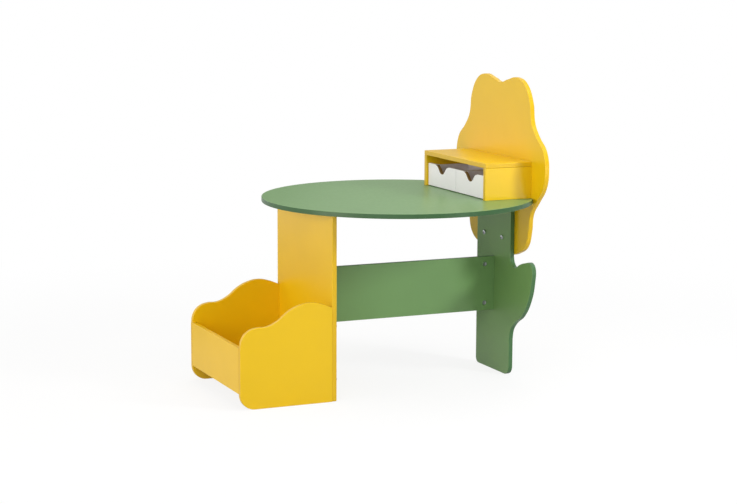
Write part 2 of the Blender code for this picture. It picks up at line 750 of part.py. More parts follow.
def join_legs_and_top(top, bin_leg, stem_leg, rail):
    rail_heights = (RAIL_BOTTOM + RAIL_LOCK_INSET, RAIL_BOTTOM + RAIL_HEIGHT - RAIL_LOCK_INSET)
    near = (0, -1, 0)
    locks, bolts = [], []
    for leg, seam_x, into, name in ((bin_leg, BIN_LEG_IN_X, (1, 0, 0), "rail_bin_end"),
                                    (stem_leg, STEM_IN_X, (-1, 0, 0), "rail_stem_end")):
        joints = [((seam_x, 0, height), into, near) for height in rail_heights]
        more_locks, more_bolts = cam_joint(rail, leg, name, joints)
        locks += more_locks
        bolts += more_bolts
    fasteners("stretcher_cam_lock", LOCK, locks, ZINC)
    fasteners("stretcher_cam_bolt", CAM_BOLT, bolts, ZINC)

    down = (0, 0, -1)
    locks, bolts = [], []
    for leg, middle_x, outward, reach_y, name in (
            (bin_leg, BIN_LEG_IN_X - BOARD / 2, (1, 0, 0), BIN_LEG_LOCK_Y, "top_bin_leg"),
            (stem_leg, STEM_IN_X + BOARD / 2, (-1, 0, 0), STEM_LOCK_Y, "top_stem_leg")):
        joints = [((middle_x, y, TOP_UNDERSIDE), down, outward) for y in (-reach_y, reach_y)]
        more_locks, more_bolts = cam_joint(leg, top, name, joints)
        locks += more_locks
        bolts += more_bolts
    fasteners("tabletop_cam_lock", LOCK, locks, ZINC)
    fasteners("tabletop_cam_bolt", CAM_BOLT, bolts, ZINC)

    middle_height = RAIL_BOTTOM + RAIL_HEIGHT / 2
    dowel_joint(rail, bin_leg, "rail_bin_dowel", [((BIN_LEG_IN_X, 0, middle_height), (1, 0, 0))])
    dowel_joint(rail, stem_leg, "rail_stem_dowel", [((STEM_IN_X, 0, middle_height), (-1, 0, 0))])
    bin_leg_seams = [((BIN_LEG_IN_X - BOARD / 2, y, TOP_UNDERSIDE), down)
                     for y in (-BIN_LEG_DOWEL_Y, BIN_LEG_DOWEL_Y)]
    dowel_joint(bin_leg, top, "top_bin_dowels", bin_leg_seams)
    dowel_joint(stem_leg, top, "top_stem_dowel", [((STEM_IN_X + BOARD / 2, 0, TOP_UNDERSIDE), down)])


def join_backboard(stem_leg, backboard):
    """Two machine bolts through the stem leg into threaded inserts in the backboard."""
    height = TABLE_HEIGHT - BACKBOARD_BOLT_DROP
    towards_bin = (-1, 0, 0)
    heads, mouths = [], []
    for y in (-BACKBOARD_BOLT_Y, BACKBOARD_BOLT_Y):
        heads.append(place((STEM_IN_X, y, height), towards_bin))
        mouths.append(place((BACK_X, y, height), towards_bin))
    fasteners("backboard_bolt", turned("backboard_bolt", bolt_profile()), heads, ZINC)
    fasteners("backboard_insert_nut", turned("insert_nut", insert_nut_profile()), mouths, ZINC)
    hole = cylinder_profile(BOLT_SHANK_RADIUS + FIT, BOARD, -2 * BOARD)
    drill(stem_leg, "backboard_bolt_holes", hole, heads)
    pocket = cylinder_profile(NUT_RADIUS + FIT, NUT_LENGTH, -NUT_LENGTH - FIT)
    drill(backboard, "insert_nut_pockets", pocket, mouths)


def join_bin(bin_leg, sides, front, base):
    """Sides screwed through the leg, front and floor held between them by cam locks."""
    screws = []
    hole = cylinder_profile(BIN_SCREW_SHANK_RADIUS + FIT, BOARD, -BIN_SCREW_LENGTH - FIT)
    for word, board, side in sides:
        heads = [place((BIN_LEG_IN_X, side * BIN_SIDE_Y, height), (1, 0, 0)) for height in BIN_SCREW_HEIGHTS]
        drill(bin_leg, f"bin_screws_{word}_leg", hole, heads)
        drill(board, f"bin_screws_{word}_side", hole, heads)
        screws += heads
    fasteners("bin_side_screw", turned("bin_screw", bin_screw_profile()), screws, ZINC)

    front_x = BIN_FRONT_X + BOARD / 2
    base_z = BIN_FRONT_BOTTOM + BOARD / 2
    base_x = (BIN_FRONT_X + BOARD + BIN_LEG_OUT_X) / 2
    locks, bolts = [], []
    for word, board, side in sides:
        seam_y = side * BIN_INNER_Y
        into = (0, -side, 0)
        front_seam = (front_x, seam_y, BIN_FRONT_BOTTOM + BIN_FRONT_LOCK_RISE)
        more_locks, more_bolts = cam_joint(front, board, f"bin_front_{word}", [(front_seam, into, (1, 0, 0))])
        locks += more_locks
        bolts += more_bolts
        base_seam = (base_x, seam_y, base_z)
        more_locks, more_bolts = cam_joint(base, board, f"bin_base_{word}", [(base_seam, into, (0, 0, -1))])
        locks += more_locks
        bolts += more_bolts
        dowel_seam = (front_x, seam_y, BIN_FRONT_BOTTOM + BIN_FRONT_DOWEL_RISE)
        dowel_joint(front, board, f"bin_front_dowel_{word}", [(dowel_seam, into)])
    fasteners("bin_cam_lock", LOCK, locks, ZINC)
    fasteners("bin_cam_bolt", CAM_BOLT, bolts, ZINC)


def join_shelf(top, backboard, shelf_top, sides):
    """Screws through the backboard and up through the tabletop, dowels under the shelf's top."""
    back_screws, foot_screws = [], []
    foot_x = SHELF_FRONT_X + SHELF_FOOT_SCREW_INSET
    dowel_xs = (SHELF_FRONT_X + SHELF_DOWEL_INSET, BACK_X - SHELF_DOWEL_INSET)
    for word, board, side in sides:
        y = side * SHELF_SIDE_Y
        heads = [place((REAR_X, y, TABLE_HEIGHT + rise), (1, 0, 0)) for rise in SHELF_BACK_SCREW_RISES]
        drill(board, f"shelf_back_screws_{word}", screw_hole_profile(), heads)
        back_screws += heads
        foot = place((foot_x, y, TOP_UNDERSIDE), (0, 0, -1))
        drill(board, f"shelf_foot_screw_{word}", screw_hole_profile(), [foot])
        foot_screws.append(foot)
        seams = [((x, y, SHELF_SIDE_TOP + FIT), (0, 0, -1)) for x in dowel_xs]
        dowel_joint(board, shelf_top, f"shelf_dowels_{word}", seams)
    drill(backboard, "shelf_back_screw_holes", screw_hole_profile(), back_screws)
    drill(top, "shelf_foot_screw_holes", screw_hole_profile(), foot_screws)
    screw = turned("wood_screw", screw_profile())
    fasteners("shelf_back_screw", screw, back_screws, ZINC)
    fasteners("shelf_foot_screw", screw, foot_screws, ZINC)


# Building the table

clear_scene()
TABLE = new_collection("activity_table")
CUTTERS = new_collection("cutters")
LOCK = lock_mesh()
CAM_BOLT = turned("cam_bolt", cam_bolt_profile())

tabletop = make_tabletop()
bin_leg_panel = make_bin_leg()
stem_leg_panel = make_stem_leg()
stretcher_rail = make_rail()
join_legs_and_top(tabletop, bin_leg_panel, stem_leg_panel, stretcher_rail)

backboard_panel = make_backboard()
join_backboard(stem_leg_panel, backboard_panel)

bin_sides = [("near", make_bin_side("bin_side_near", -1), -1), ("far", make_bin_side("bin_side_far", 1), 1)]
join_bin(bin_leg_panel, bin_sides, make_bin_front(), make_bin_base())

shelf_sides = [("near", make_shelf_side("shelf_side_near", -1), -1),
               ("far", make_shelf_side("shelf_side_far", 1), 1)]
join_shelf(tabletop, backboard_panel, make_shelf_top(), shelf_sides)

drawer_centre = (DRAWER_WIDTH + DRAWER_SIDE_GAP) / 2
make_drawer("drawer_near", -drawer_centre)
make_drawer("drawer_far", drawer_centre)
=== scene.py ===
# %% [markdown]
# # A children's activity table in painted fibreboard
#
# The real table is flat-packed furniture: 12 mm fibreboard (MDF) panels, cut on a router, rounded
# along their edges, sprayed in yellow, green and white, and pulled together with cam locks, bolts
# and screws. What makes such a thing look real is not ornament. It is the soft highlight that
# runs along each rounded edge, the gloss of sprayed paint, the deeper colour of the cut edges and
# the small metal fittings let into the boards.
#
# This lesson dresses a measured model of the table. The measured model gives every board's place
# and stays the truth about sizes. We rebuild each board finely enough for close light, give it
# its paint, and light it as in a plain studio.

# %% Load the measured model
import json
import math
from functools import partial

import bmesh
import bpy
from mathutils import Matrix, Vector

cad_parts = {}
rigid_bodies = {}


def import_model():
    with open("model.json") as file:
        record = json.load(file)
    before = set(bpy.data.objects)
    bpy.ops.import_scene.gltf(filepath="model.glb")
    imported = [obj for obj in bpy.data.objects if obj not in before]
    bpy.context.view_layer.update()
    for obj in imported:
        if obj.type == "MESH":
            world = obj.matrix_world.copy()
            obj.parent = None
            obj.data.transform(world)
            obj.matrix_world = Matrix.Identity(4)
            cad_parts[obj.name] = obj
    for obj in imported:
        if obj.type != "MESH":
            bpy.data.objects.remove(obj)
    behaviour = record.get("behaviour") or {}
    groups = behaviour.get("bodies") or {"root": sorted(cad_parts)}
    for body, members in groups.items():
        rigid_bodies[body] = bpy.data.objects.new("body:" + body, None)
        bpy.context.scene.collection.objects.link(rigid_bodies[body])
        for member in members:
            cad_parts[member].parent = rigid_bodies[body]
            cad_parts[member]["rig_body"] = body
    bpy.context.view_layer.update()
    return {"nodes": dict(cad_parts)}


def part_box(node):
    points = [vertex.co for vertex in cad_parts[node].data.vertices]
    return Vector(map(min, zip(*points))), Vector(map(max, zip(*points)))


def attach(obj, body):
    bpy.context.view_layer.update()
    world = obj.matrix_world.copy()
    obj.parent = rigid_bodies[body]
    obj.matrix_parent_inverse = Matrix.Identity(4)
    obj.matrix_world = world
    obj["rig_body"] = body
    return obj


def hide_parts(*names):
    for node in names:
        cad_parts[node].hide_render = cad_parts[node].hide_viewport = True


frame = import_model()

print("boards and fittings in the measured model:", len(frame["nodes"]))

# %% [markdown]
# ## Read the places of the boards
#
# Every board stands where the measured model has it, so we read planes from its boxes and do not
# type them in again. Some boxes are longer than their board, because the wooden dowels glued into
# a board's end belong to it. In those places we take the neighbour's face instead, less the
# 0.3 mm gap that the boards keep.

# %% Planes that the boards share
FIT = 0.0003
BOARD = 0.012

top_low, top_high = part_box("tabletop")
wide_low, wide_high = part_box("bin_leg_panel")
stem_low, stem_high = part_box("stem_leg_panel")
shelf_low, shelf_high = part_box("shelf_top_panel")
bin_near_low, bin_near_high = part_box("bin_side_near")
bin_far_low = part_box("bin_side_far")[0]

TABLE_HEIGHT = top_high.z
LEG_TOP = top_low.z - FIT
print("table height in mm:", round(TABLE_HEIGHT * 1000), "legs end at", round(LEG_TOP * 1000, 1))

# %% [markdown]
# ## Outlines
#
# A router follows a flat outline, and so do we. An outline is a ring of points, and each point is
# either a corner or a place that a smooth curve runs through. Blender's Bezier curve holds both:
# a corner has VECTOR handles and a smooth point has AUTO handles. The alternative, a polygon with
# hundreds of points, would look the same and could no longer be edited by hand.

# %% Draw an outline and sample it
CURVE_STEPS = 12
CORNER_STEPS = 10


def sharp(points):
    """Outline points joined by straight lines."""
    return [(u, v, "VECTOR") for u, v in points]


def smooth(points):
    """Outline points joined by an even curve."""
    return [(u, v, "AUTO") for u, v in points]


def fillet(before, corner, after, radius):
    """Points of the arc that rounds a corner between two straight edges."""
    tip = Vector(corner)
    to_before = (Vector(before) - tip).normalized()
    to_after = (Vector(after) - tip).normalized()
    half = to_before.angle(to_after) / 2
    centre = tip + (to_before + to_after).normalized() * radius / math.sin(half)
    start = tip + to_before * radius / math.tan(half) - centre
    end = tip + to_after * radius / math.tan(half) - centre
    turn = start.angle_signed(end)
    turns = [Matrix.Rotation(-turn * step / CORNER_STEPS, 2) for step in range(CORNER_STEPS + 1)]
    return [tuple(centre + rotation @ start) for rotation in turns]


def evaluated_mesh(obj):
    """The object's mesh with its modifiers, as a new mesh."""
    bpy.context.view_layer.update()
    graph = bpy.context.evaluated_depsgraph_get()
    return bpy.data.meshes.new_from_object(obj.evaluated_get(graph), depsgraph=graph)


def new_object(name, data):
    """Object in the scene that shows a mesh, curve, lamp or camera."""
    obj = bpy.data.objects.new(name, data)
    bpy.context.scene.collection.objects.link(obj)
    return obj


def sampled(outline):
    """Run a Bezier curve through the outline and return the points along it."""
    curve = bpy.data.curves.new("outline", "CURVE")
    curve.dimensions = "2D"
    curve.fill_mode = "NONE"
    curve.resolution_u = CURVE_STEPS
    spline = curve.splines.new("BEZIER")
    spline.bezier_points.add(len(outline) - 1)
    for point, (u, v, _) in zip(spline.bezier_points, outline):
        point.co = (u, v, 0)
    for point, (_, _, handle) in zip(spline.bezier_points, outline):
        point.handle_left_type = handle
        point.handle_right_type = handle
    spline.use_cyclic_u = True
    guide = new_object("outline", curve)
    line = evaluated_mesh(guide)
    points = [(vert.co.x, vert.co.y) for vert in line.vertices]
    bpy.data.objects.remove(guide)
    bpy.data.meshes.remove(line)
    return points


def both_halves(half):
    """Half an outline and its mirror image; a point on the mirror line is used once."""
    return half + [(-u, v) for u, v in reversed(half) if u]


def rectangle(low_u, low_v, high_u, high_v):
    """Outline of the rectangle between two corners."""
    return sharp([(low_u, low_v), (high_u, low_v), (high_u, high_v), (low_u, high_v)])


print("a rounded corner has", len(fillet((0, 1), (0, 0), (1, 0), 0.1)), "points")

# %% [markdown]
# ## From outline to board
#
# Extruding the outline gives a board with knife edges. The workshop runs a small round-over
# cutter along every edge that a hand can reach and leaves the edges square where two boards meet.
# A Bevel modifier limited by edge weight does exactly that: we give each sharp edge a weight of 1
# and leave the seams at 0. Five segments across 1.2 mm are enough for an unbroken highlight.
#
# The Weighted Normal modifier comes last. It lets the wide flat faces decide how the shading
# turns, so that a board looks flat right up to its rounding.
#
# Our curves are drawn finer than the measured ones, so their crests rise a few tenths of a
# millimetre higher. The dressed table may not be larger than the measured one, so an outline
# that passes its board's box is squeezed into it.

# %% Round over, drill and shade a board
EDGE_ROUND = 0.0012
EDGE_SEGMENTS = 5
SHARP_ANGLE = math.radians(35)
ON_PLANE = 0.00002
WELD = 0.000001


def squeezed(values, low, high):
    """Values mapped evenly into the span from `low` to `high`, where they pass its ends."""
    start, end = min(values), max(values)
    new_start, new_end = max(start, low), min(end, high)
    return [new_start + (value - start) * (new_end - new_start) / (end - start) for value in values]


def mesh_from(name, bm):
    """Write what was built to a new mesh, and free the workspace."""
    mesh = bpy.data.meshes.new(name)
    bm.to_mesh(mesh)
    bm.free()
    return mesh


def lift(bm, made, step):
    """Move the new vertices of an extrusion."""
    fresh = [item for item in made["geom"] if isinstance(item, bmesh.types.BMVert)]
    bmesh.ops.translate(bm, verts=fresh, vec=step)


def extruded(outline, axis, low, high):
    """Closed mesh of an outline extruded across an axis, through the box between two corners."""
    across = "XYZ".index(axis)
    along = [index for index in range(3) if index != across]
    flat = zip(*sampled(outline))
    columns = [squeezed(values, low[index], high[index]) for index, values in zip(along, flat)]
    bm = bmesh.new()
    corners = []
    for column in zip(*columns):
        corner = list(column)
        corner.insert(across, low[across])
        corners.append(bm.verts.new(corner))
    made = bmesh.ops.extrude_face_region(bm, geom=[bm.faces.new(corners)])
    step = Vector((0, 0, 0))
    step[across] = high[across] - low[across]
    lift(bm, made, step)
    bmesh.ops.remove_doubles(bm, verts=bm.verts, dist=WELD)
    bmesh.ops.recalc_face_normals(bm, faces=bm.faces)
    return mesh_from("board", bm)


def weigh_edges(mesh, square):
    """Give the edges that are to be rounded a bevel weight of 1, and those in a `square` plane 0."""
    bm = bmesh.new()
    bm.from_mesh(mesh)
    weight = bm.edges.layers.float.new("bevel_weight_edge")
    for edge in bm.edges:
        if edge.calc_face_angle(0) < SHARP_ANGLE:
            continue
        meets = any(all(abs(vert.co["XYZ".index(axis)] - value) < ON_PLANE for vert in edge.verts)
                    for axis, value in square)
        edge[weight] = 0.0 if meets else 1.0
    bm.to_mesh(mesh)
    bm.free()


def bake_modifiers(obj):
    """Replace an object's mesh with what its modifiers make of it."""
    rough = obj.data
    obj.data = evaluated_mesh(obj)
    obj.modifiers.clear()
    bpy.data.meshes.remove(rough)


def finish_board(board, radius, square, cutters):
    """Round the edges, cut the holes and settle the shading."""
    weigh_edges(board.data, square)
    bevel = board.modifiers.new("Round-over", "BEVEL")
    bevel.limit_method = "WEIGHT"
    bevel.width = radius
    bevel.segments = EDGE_SEGMENTS
    blanks = [new_object("cutter", mesh) for mesh in cutters]
    for blank in blanks:
        cut = board.modifiers.new("Cut", "BOOLEAN")
        cut.operation = "DIFFERENCE"
        cut.object = blank
    bake_modifiers(board)
    for blank in blanks:
        bpy.data.objects.remove(blank)
    board.data.shade_smooth()
    board.data.set_sharp_from_angle(angle=SHARP_ANGLE)
    even = board.modifiers.new("Flat faces lead", "WEIGHTED_NORMAL")
    even.keep_sharp = True
    bake_modifiers(board)


print("edge rounding in mm:", EDGE_ROUND * 1000)

# %% [markdown]
# ## Where the board turns
#
# Paint behaves differently on a fibreboard's face, on its cut edge and on the rounding between
# them, so the material has to know where it is. The shader could compare normals with the view,
# but that would slide over the board as the camera moves. We store the answer in the mesh: a
# number at each face corner that is 0 on the flat face, 1 on the cut edge, and runs from one to
# the other around the rounding.

# %% Mark faces, roundings and cut edges
def mark_turn(mesh, axis):
    """Store how far each corner's normal has turned away from the board's flat faces."""
    across = "XYZ".index(axis)
    turn = mesh.attributes.new("edge_turn", "FLOAT", "CORNER")
    turn.data.foreach_set("value", [1 - abs(normal.vector[across]) for normal in mesh.corner_normals])


print("a corner halfway round an edge gets", round(1 - math.cos(math.pi / 4), 2))

# %% [markdown]
# ## Holes for the fittings
#
# Each lock, bolt and screw of the measured model has a box that tells where it is. A turned
# fitting's axis is the side of the box that differs from the other two. Every fitting whose box
# reaches into a board needs a hole there, so a loop finds them and no list of holes is kept. A
# lock sits in a blind pocket that is open on one side only, the side that its face is nearest to.

# %% Find the fittings in a board and make their cutters
SHANK_RADIUS = {
    "cam_bolt": 0.0030,
    "backboard_bolt": 0.0030,
    "insert_nut": 0.0048,
    "side_screw": 0.0025,
    "back_screw": 0.0019,
    "foot_screw": 0.0019,
}
SCREW_HEAD_RADIUS = 0.0038
SCREW_HEAD_HEIGHT = 0.0026
HOLE_SIDES = 40


def named(*words):
    """Measured pieces whose name holds one of the words."""
    return sorted(node for node in frame["nodes"] if any(word in node for word in words))


fittings = {node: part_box(node) for node in named("cam_lock", *SHANK_RADIUS)}


def fitting_axis(low, high):
    """Index of the axis that a turned fitting is turned about: its box is square across it."""
    size = high - low
    middle = sorted(size)[1]
    return max(range(3), key=lambda index: abs(size[index] - middle))


def nearer_high(low, high, board_low, board_high, across):
    """Whether a fitting lies nearer to its board's high side than to its low side."""
    return board_high[across] - high[across] < low[across] - board_low[across]


def rod(centre, across, start, end, start_radius, end_radius):
    """Closed round cutter along one axis, from `start` to `end`."""
    bm = bmesh.new()
    bmesh.ops.create_cone(bm, cap_ends=True, segments=HOLE_SIDES, radius1=start_radius,
                          radius2=end_radius, depth=end - start)
    quarter = math.pi / 2
    turns = (Matrix.Rotation(quarter, 4, "Y"), Matrix.Rotation(-quarter, 4, "X"), Matrix.Identity(4))
    middle = Vector(centre)
    middle[across] = (start + end) / 2
    bmesh.ops.transform(bm, matrix=Matrix.Translation(middle) @ turns[across], verts=bm.verts)
    return mesh_from("rod", bm)


def holes_for(board_low, board_high):
    """Cutters for all fittings that reach into a board's box."""
    cutters = []
    for name, (low, high) in fittings.items():
        if any(low[i] > board_high[i] - FIT or high[i] < board_low[i] + FIT for i in range(3)):
            continue
        across = fitting_axis(low, high)
        centre = (low + high) / 2
        start = low[across] - FIT
        end = high[across] + FIT
        if "cam_lock" in name:
            radius = (high - low)[(across + 1) % 3] / 2 + FIT
            if nearer_high(low, high, board_low, board_high, across):
                end = high[across] + BOARD
            else:
                start = low[across] - BOARD
            cutters.append(rod(centre, across, start, end, radius, radius))
            continue
        word = next(word for word in SHANK_RADIUS if word in name)
        radius = SHANK_RADIUS[word] + FIT
        head = SCREW_HEAD_RADIUS + FIT
        cutters.append(rod(centre, across, start, end, radius, radius))
        if word == "back_screw":
            cutters.append(rod(centre, across, high[across] - SCREW_HEAD_HEIGHT, end, radius, head))
        if word == "foot_screw":
            cutters.append(rod(centre, across, start, low[across] + SCREW_HEAD_HEIGHT, head, radius))
    return cutters


print("fittings to drill for:", len(fittings))

# %% [markdown]
# ## Paint, part one: colours and nodes
#
# A colour in this script is written the way a designer would note it, as an sRGB hex value. The
# renderer mixes light in linear numbers, so one small function converts it. Another adds a node,
# sets the node's own settings and fills its sockets. A socket takes a number, a link from another
# socket, or simply another node, whose first output in use is then linked.

# %% Helpers for materials
def linear(hex_colour):
    """Linear red, green, blue and alpha of an sRGB hex colour."""
    channels = []
    for start in (1, 3, 5):
        value = int(hex_colour[start:start + 2], 16) / 255
        channels.append(value / 12.92 if value <= 0.04045 else ((value + 0.055) / 1.055) ** 2.4)
    return (*channels, 1.0)


def fill(node, sockets):
    """Fill a node's input sockets with values, or with links from sockets or nodes."""
    for socket, value in sockets.items():
        if isinstance(value, bpy.types.Node):
            value = next(output for output in value.outputs if output.enabled)
        if isinstance(value, bpy.types.NodeSocket):
            node.id_data.links.new(value, node.inputs[socket])
        else:
            node.inputs[socket].default_value = value


def add_node(tree, kind, sockets=None, **settings):
    """Add a node, change its settings and fill its sockets."""
    node = tree.nodes.new(kind)
    for name, value in settings.items():
        setattr(node, name, value)
    fill(node, sockets or {})
    return node


def new_material(name):
    """Material, its empty Principled shader, a way to add nodes, and the Object coordinates."""
    material = bpy.data.materials.new(name)
    material.use_nodes = True
    add = partial(add_node, material.node_tree)
    shader = material.node_tree.nodes["Principled BSDF"]
    return material, shader, add, add("ShaderNodeTexCoord").outputs["Object"]


def per_metre(millimetres):
    """Scale of a noise or wave whose features are this many millimetres wide."""
    return 1000 / millimetres


print("sRGB #808080 in linear light:", round(linear("#808080")[0], 3))

# %% [markdown]
# ## Paint, part two: sprayed satin lacquer on fibreboard
#
# The real finish is pigmented lacquer, sprayed in two coats and sanded between them. Up close it
# has a faint orange peel, ripples a couple of millimetres apart that the spray gun leaves. The
# colour drifts very slightly over a hand's width. A cut edge drinks more lacquer, so it dries
# deeper in colour, with the fibres just showing. On the rounding the sander goes nearly through,
# so the coat is thinner and a little paler there; this paler band along each rounded edge is also
# a painted highlight. Only the cut inside a drawer's finger notch stays unpainted, and the brown board
# shows.
#
# All of it is built from noise on Object coordinates, whose scales are worked out from sizes in
# millimetres, and from two numbers stored in the mesh. The gloss itself needs no tricks: an IOR
# of 1.5, as for most lacquers, and the roughness of a satin spray. The tabletop has a coat of its
# own, a little duller and with darker cut edges.

# %% Sprayed lacquer
LACQUER_NOISE = {           # width in millimetres, and detail
    "drift": (140, 3.0),    # slow change of the colour
    # the next noise breaks up the paler band on the roundings: sander wear and painted highlight
    "wear_and_highlight_patches": (35, 2.0),       # where the sander went over more often
    "mist": (9, 4.0),       # change of the gloss
    "peel": (2.4, 1.0),     # orange peel
    "fibre": (0.7, 2.0),    # wood fibre, drawn coarse enough to show
}
NOISE_SPAN = {"From Min": 0.3, "From Max": 0.7}
COLOUR_DRIFT = {"To Min": 0.972, "To Max": 1.022}
EDGE_COMES_IN = {"From Min": 0.1, "From Max": 0.6}
# turns where the paler band lies on the rounding: partly the sanded, thinner coat, partly a painted
# highlight
WEAR_HIGHLIGHT_START, WEAR_HIGHLIGHT_CREST, WEAR_HIGHLIGHT_END = 0.06, 0.2, 0.5      # turns at which the sander rubs
DULLEST, GLOSSIEST = 0.03, -0.02                    # added to the roughness
PEEL_BUMP = {"Strength": 0.03, "Distance": 0.0004}
FIBRE_BUMP = {"Strength": 0.25, "Distance": 0.0003}
BARE_FIBREBOARD = "#866a40"


def sprayed_lacquer(name, colour, edge_colour, wear_and_highlight_colour, roughness):
    """Lacquer that knows a board's faces, roundings, cut edges and bare cuts."""
    material, shader, add, place = new_material(name)
    turn, bare = [add("ShaderNodeAttribute", attribute_name=stored).outputs["Fac"]
                  for stored in ("edge_turn", "bare_cut")]
    noise = {}
    for part, (width, detail) in LACQUER_NOISE.items():
        noise[part] = add("ShaderNodeTexNoise", {
            "Vector": place, "Scale": per_metre(width), "Detail": detail})

    drift = add("ShaderNodeMapRange", {"Value": noise["drift"], **NOISE_SPAN, **COLOUR_DRIFT})
    cut = add("ShaderNodeMapRange", {"Value": turn, **EDGE_COMES_IN})
    # A paler band round each rounding, patchy by noise: partly the thinner sanded coat, partly a
    # painted highlight along the edge.
    rub_and_highlight_band = add("ShaderNodeValToRGB", {"Fac": turn})
    stops = rub_and_highlight_band.color_ramp.elements
    stops[0].position = WEAR_HIGHLIGHT_START
    stops[1].position = WEAR_HIGHLIGHT_END
    stops[1].color = (0, 0, 0, 1)
    stops.new(WEAR_HIGHLIGHT_CREST).color = (1, 1, 1, 1)
    thin_coat_and_highlight = add("ShaderNodeMath", {0: rub_and_highlight_band, 1: noise["wear_and_highlight_patches"]}, operation="MULTIPLY")
    coat = add("ShaderNodeHueSaturation", {"Value": drift, "Color": linear(colour)})
    for share, tone in ((cut, edge_colour), (thin_coat_and_highlight, wear_and_highlight_colour), (bare, BARE_FIBREBOARD)):
        coat = add("ShaderNodeMix", {"Factor": share, "A": coat, "B": linear(tone)}, data_type="RGBA")

    gloss = add("ShaderNodeMapRange", {
        "Value": noise["mist"], **NOISE_SPAN,
        "To Min": roughness + GLOSSIEST, "To Max": roughness + DULLEST})
    skin = add("ShaderNodeBump", {"Height": noise["peel"], **PEEL_BUMP})
    on_edge = add("ShaderNodeMath", {0: cut, 1: noise["fibre"]}, operation="MULTIPLY")
    grain = add("ShaderNodeBump", {"Height": on_edge, "Normal": skin, **FIBRE_BUMP})
    fill(shader, {"Base Color": coat, "Roughness": gloss, "Normal": grain})
    return material


YELLOW_LACQUER, GREEN_LACQUER, TOP_LACQUER, WHITE_LACQUER = [sprayed_lacquer(*finish) for finish in (
    ("Sprayed yellow lacquer on fibreboard", "#e9bf04", "#dfb404", "#f3cf45", 0.32),
    ("Sprayed green lacquer on fibreboard", "#70985c", "#477144", "#86ac74", 0.32),
    ("Satin green lacquer on a tabletop", "#6f965d", "#355c34", "#86ac74", 0.36),
    ("Sprayed white lacquer on fibreboard", "#f5f2fa", "#e9e7ee", "#f8f6fb", 0.34))]
print("lacquers:", [material.name for material in bpy.data.materials if "lacquer" in material.name])

# %% [markdown]
# ## Hardboard and metal
#
# The drawers' bottoms are 3 mm hardboard: wood fibre pressed hot into a brown sheet, smooth on
# top. A noise that is stretched one way looks like its short fibres. The screws and bolts are
# zinc-plated steel, bright and slightly blue. The cam locks are die-cast zinc, greyer and duller,
# with the fine grain of the casting. A metal's colour is its reflection, so both keep the default
# IOR and get their look from roughness and a little bump.

# %% Hardboard, plated steel and cast zinc
FIBRE_LIE = {"Rotation": (0, 0, math.radians(17)), "Scale": (1, 3.5, 1)}
HARDBOARD_FIBRE = {"Scale": per_metre(3.5), "Detail": 6.0, "Roughness": 0.62, "Distortion": 0.8}
CLOUD_MM = 2.5


def pressed_hardboard():
    """Brown sheet with short fibres."""
    material, shader, add, place = new_material("Pressed brown hardboard")
    lie = add("ShaderNodeMapping", {"Vector": place, **FIBRE_LIE})
    fibre = add("ShaderNodeTexNoise", {"Vector": lie, **HARDBOARD_FIBRE})
    tone = add("ShaderNodeMix", {
        "Factor": fibre, "A": linear("#8d7a68"), "B": linear("#b3a08c")}, data_type="RGBA")
    skin = add("ShaderNodeBump", {"Height": fibre, "Strength": 0.3, "Distance": 0.0003})
    fill(shader, {"Base Color": tone, "Normal": skin, "Roughness": 0.6})
    return material


def plated_metal(name, colour, dull_colour, roughness, grain_mm, bump):
    """Metal with dull clouds in its colour and a grain in its gloss."""
    material, shader, add, place = new_material(name)
    cloud = add("ShaderNodeTexNoise", {"Vector": place, "Scale": per_metre(CLOUD_MM), "Detail": 3.0})
    tone = add("ShaderNodeMix", {
        "Factor": cloud, "A": linear(dull_colour), "B": linear(colour)}, data_type="RGBA")
    grain = add("ShaderNodeTexNoise", {"Vector": place, "Scale": per_metre(grain_mm), "Detail": 2.0})
    rough = add("ShaderNodeMapRange", {
        "Value": grain, **NOISE_SPAN, "To Min": roughness - 0.06, "To Max": roughness + 0.08})
    skin = add("ShaderNodeBump", {"Height": grain, "Strength": bump, "Distance": 0.0001})
    fill(shader, {"Base Color": tone, "Roughness": rough, "Normal": skin, "Metallic": 1.0})
    return material


HARDBOARD = pressed_hardboard()
PLATED_STEEL = plated_metal("Zinc-plated steel", "#d3d6da", "#b4b9c0", 0.24, 0.6, 0.10)
CAST_ZINC = plated_metal("Die-cast zinc", "#c4c6c8", "#9fa2a6", 0.36, 0.4, 0.25)
print("metals:", PLATED_STEEL.name, "/", CAST_ZINC.name)

# %% [markdown]
# ## One function for all flat boards
#
# Twenty of the pieces are boards with an outline, a thickness and a few holes, so one function
# takes an outline to a finished piece. It reads the two faces from the measured board's box,
# drills whatever fittings reach in, rounds the edges, marks the turn, gives the paint, hides the
# measured board and hangs the piece on the body that the board moves with.

# %% Make a painted board
LACQUERS = {
    "yellow_paint": YELLOW_LACQUER, "green_paint": GREEN_LACQUER, "white_paint": WHITE_LACQUER}
body_of_node = {node: obj["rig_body"] for node, obj in frame["nodes"].items()}


def dress(board, node, axis, slot, radius=EDGE_ROUND, square=(), cutters=(), lacquer=None):
    """Finish a board's mesh, hide the measured node that it stands in for, and attach it to that
    node's body.
    """
    finish_board(board, radius, square, [*cutters, *holes_for(*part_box(node))])
    mark_turn(board.data, axis)
    board.data.materials.clear()
    board.data.materials.append(lacquer or LACQUERS[slot])
    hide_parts(node)
    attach(board, body_of_node[node])
    print(f"{board.name}: {len(board.data.polygons)} faces")


def painted_board(node, outline, axis, slot, **finish):
    """Board cut to an outline, dressed as the piece for a measured node."""
    board = new_object(node + "_painted", extruded(outline, axis, *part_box(node)))
    dress(board, node, axis, slot, **finish)
    return board


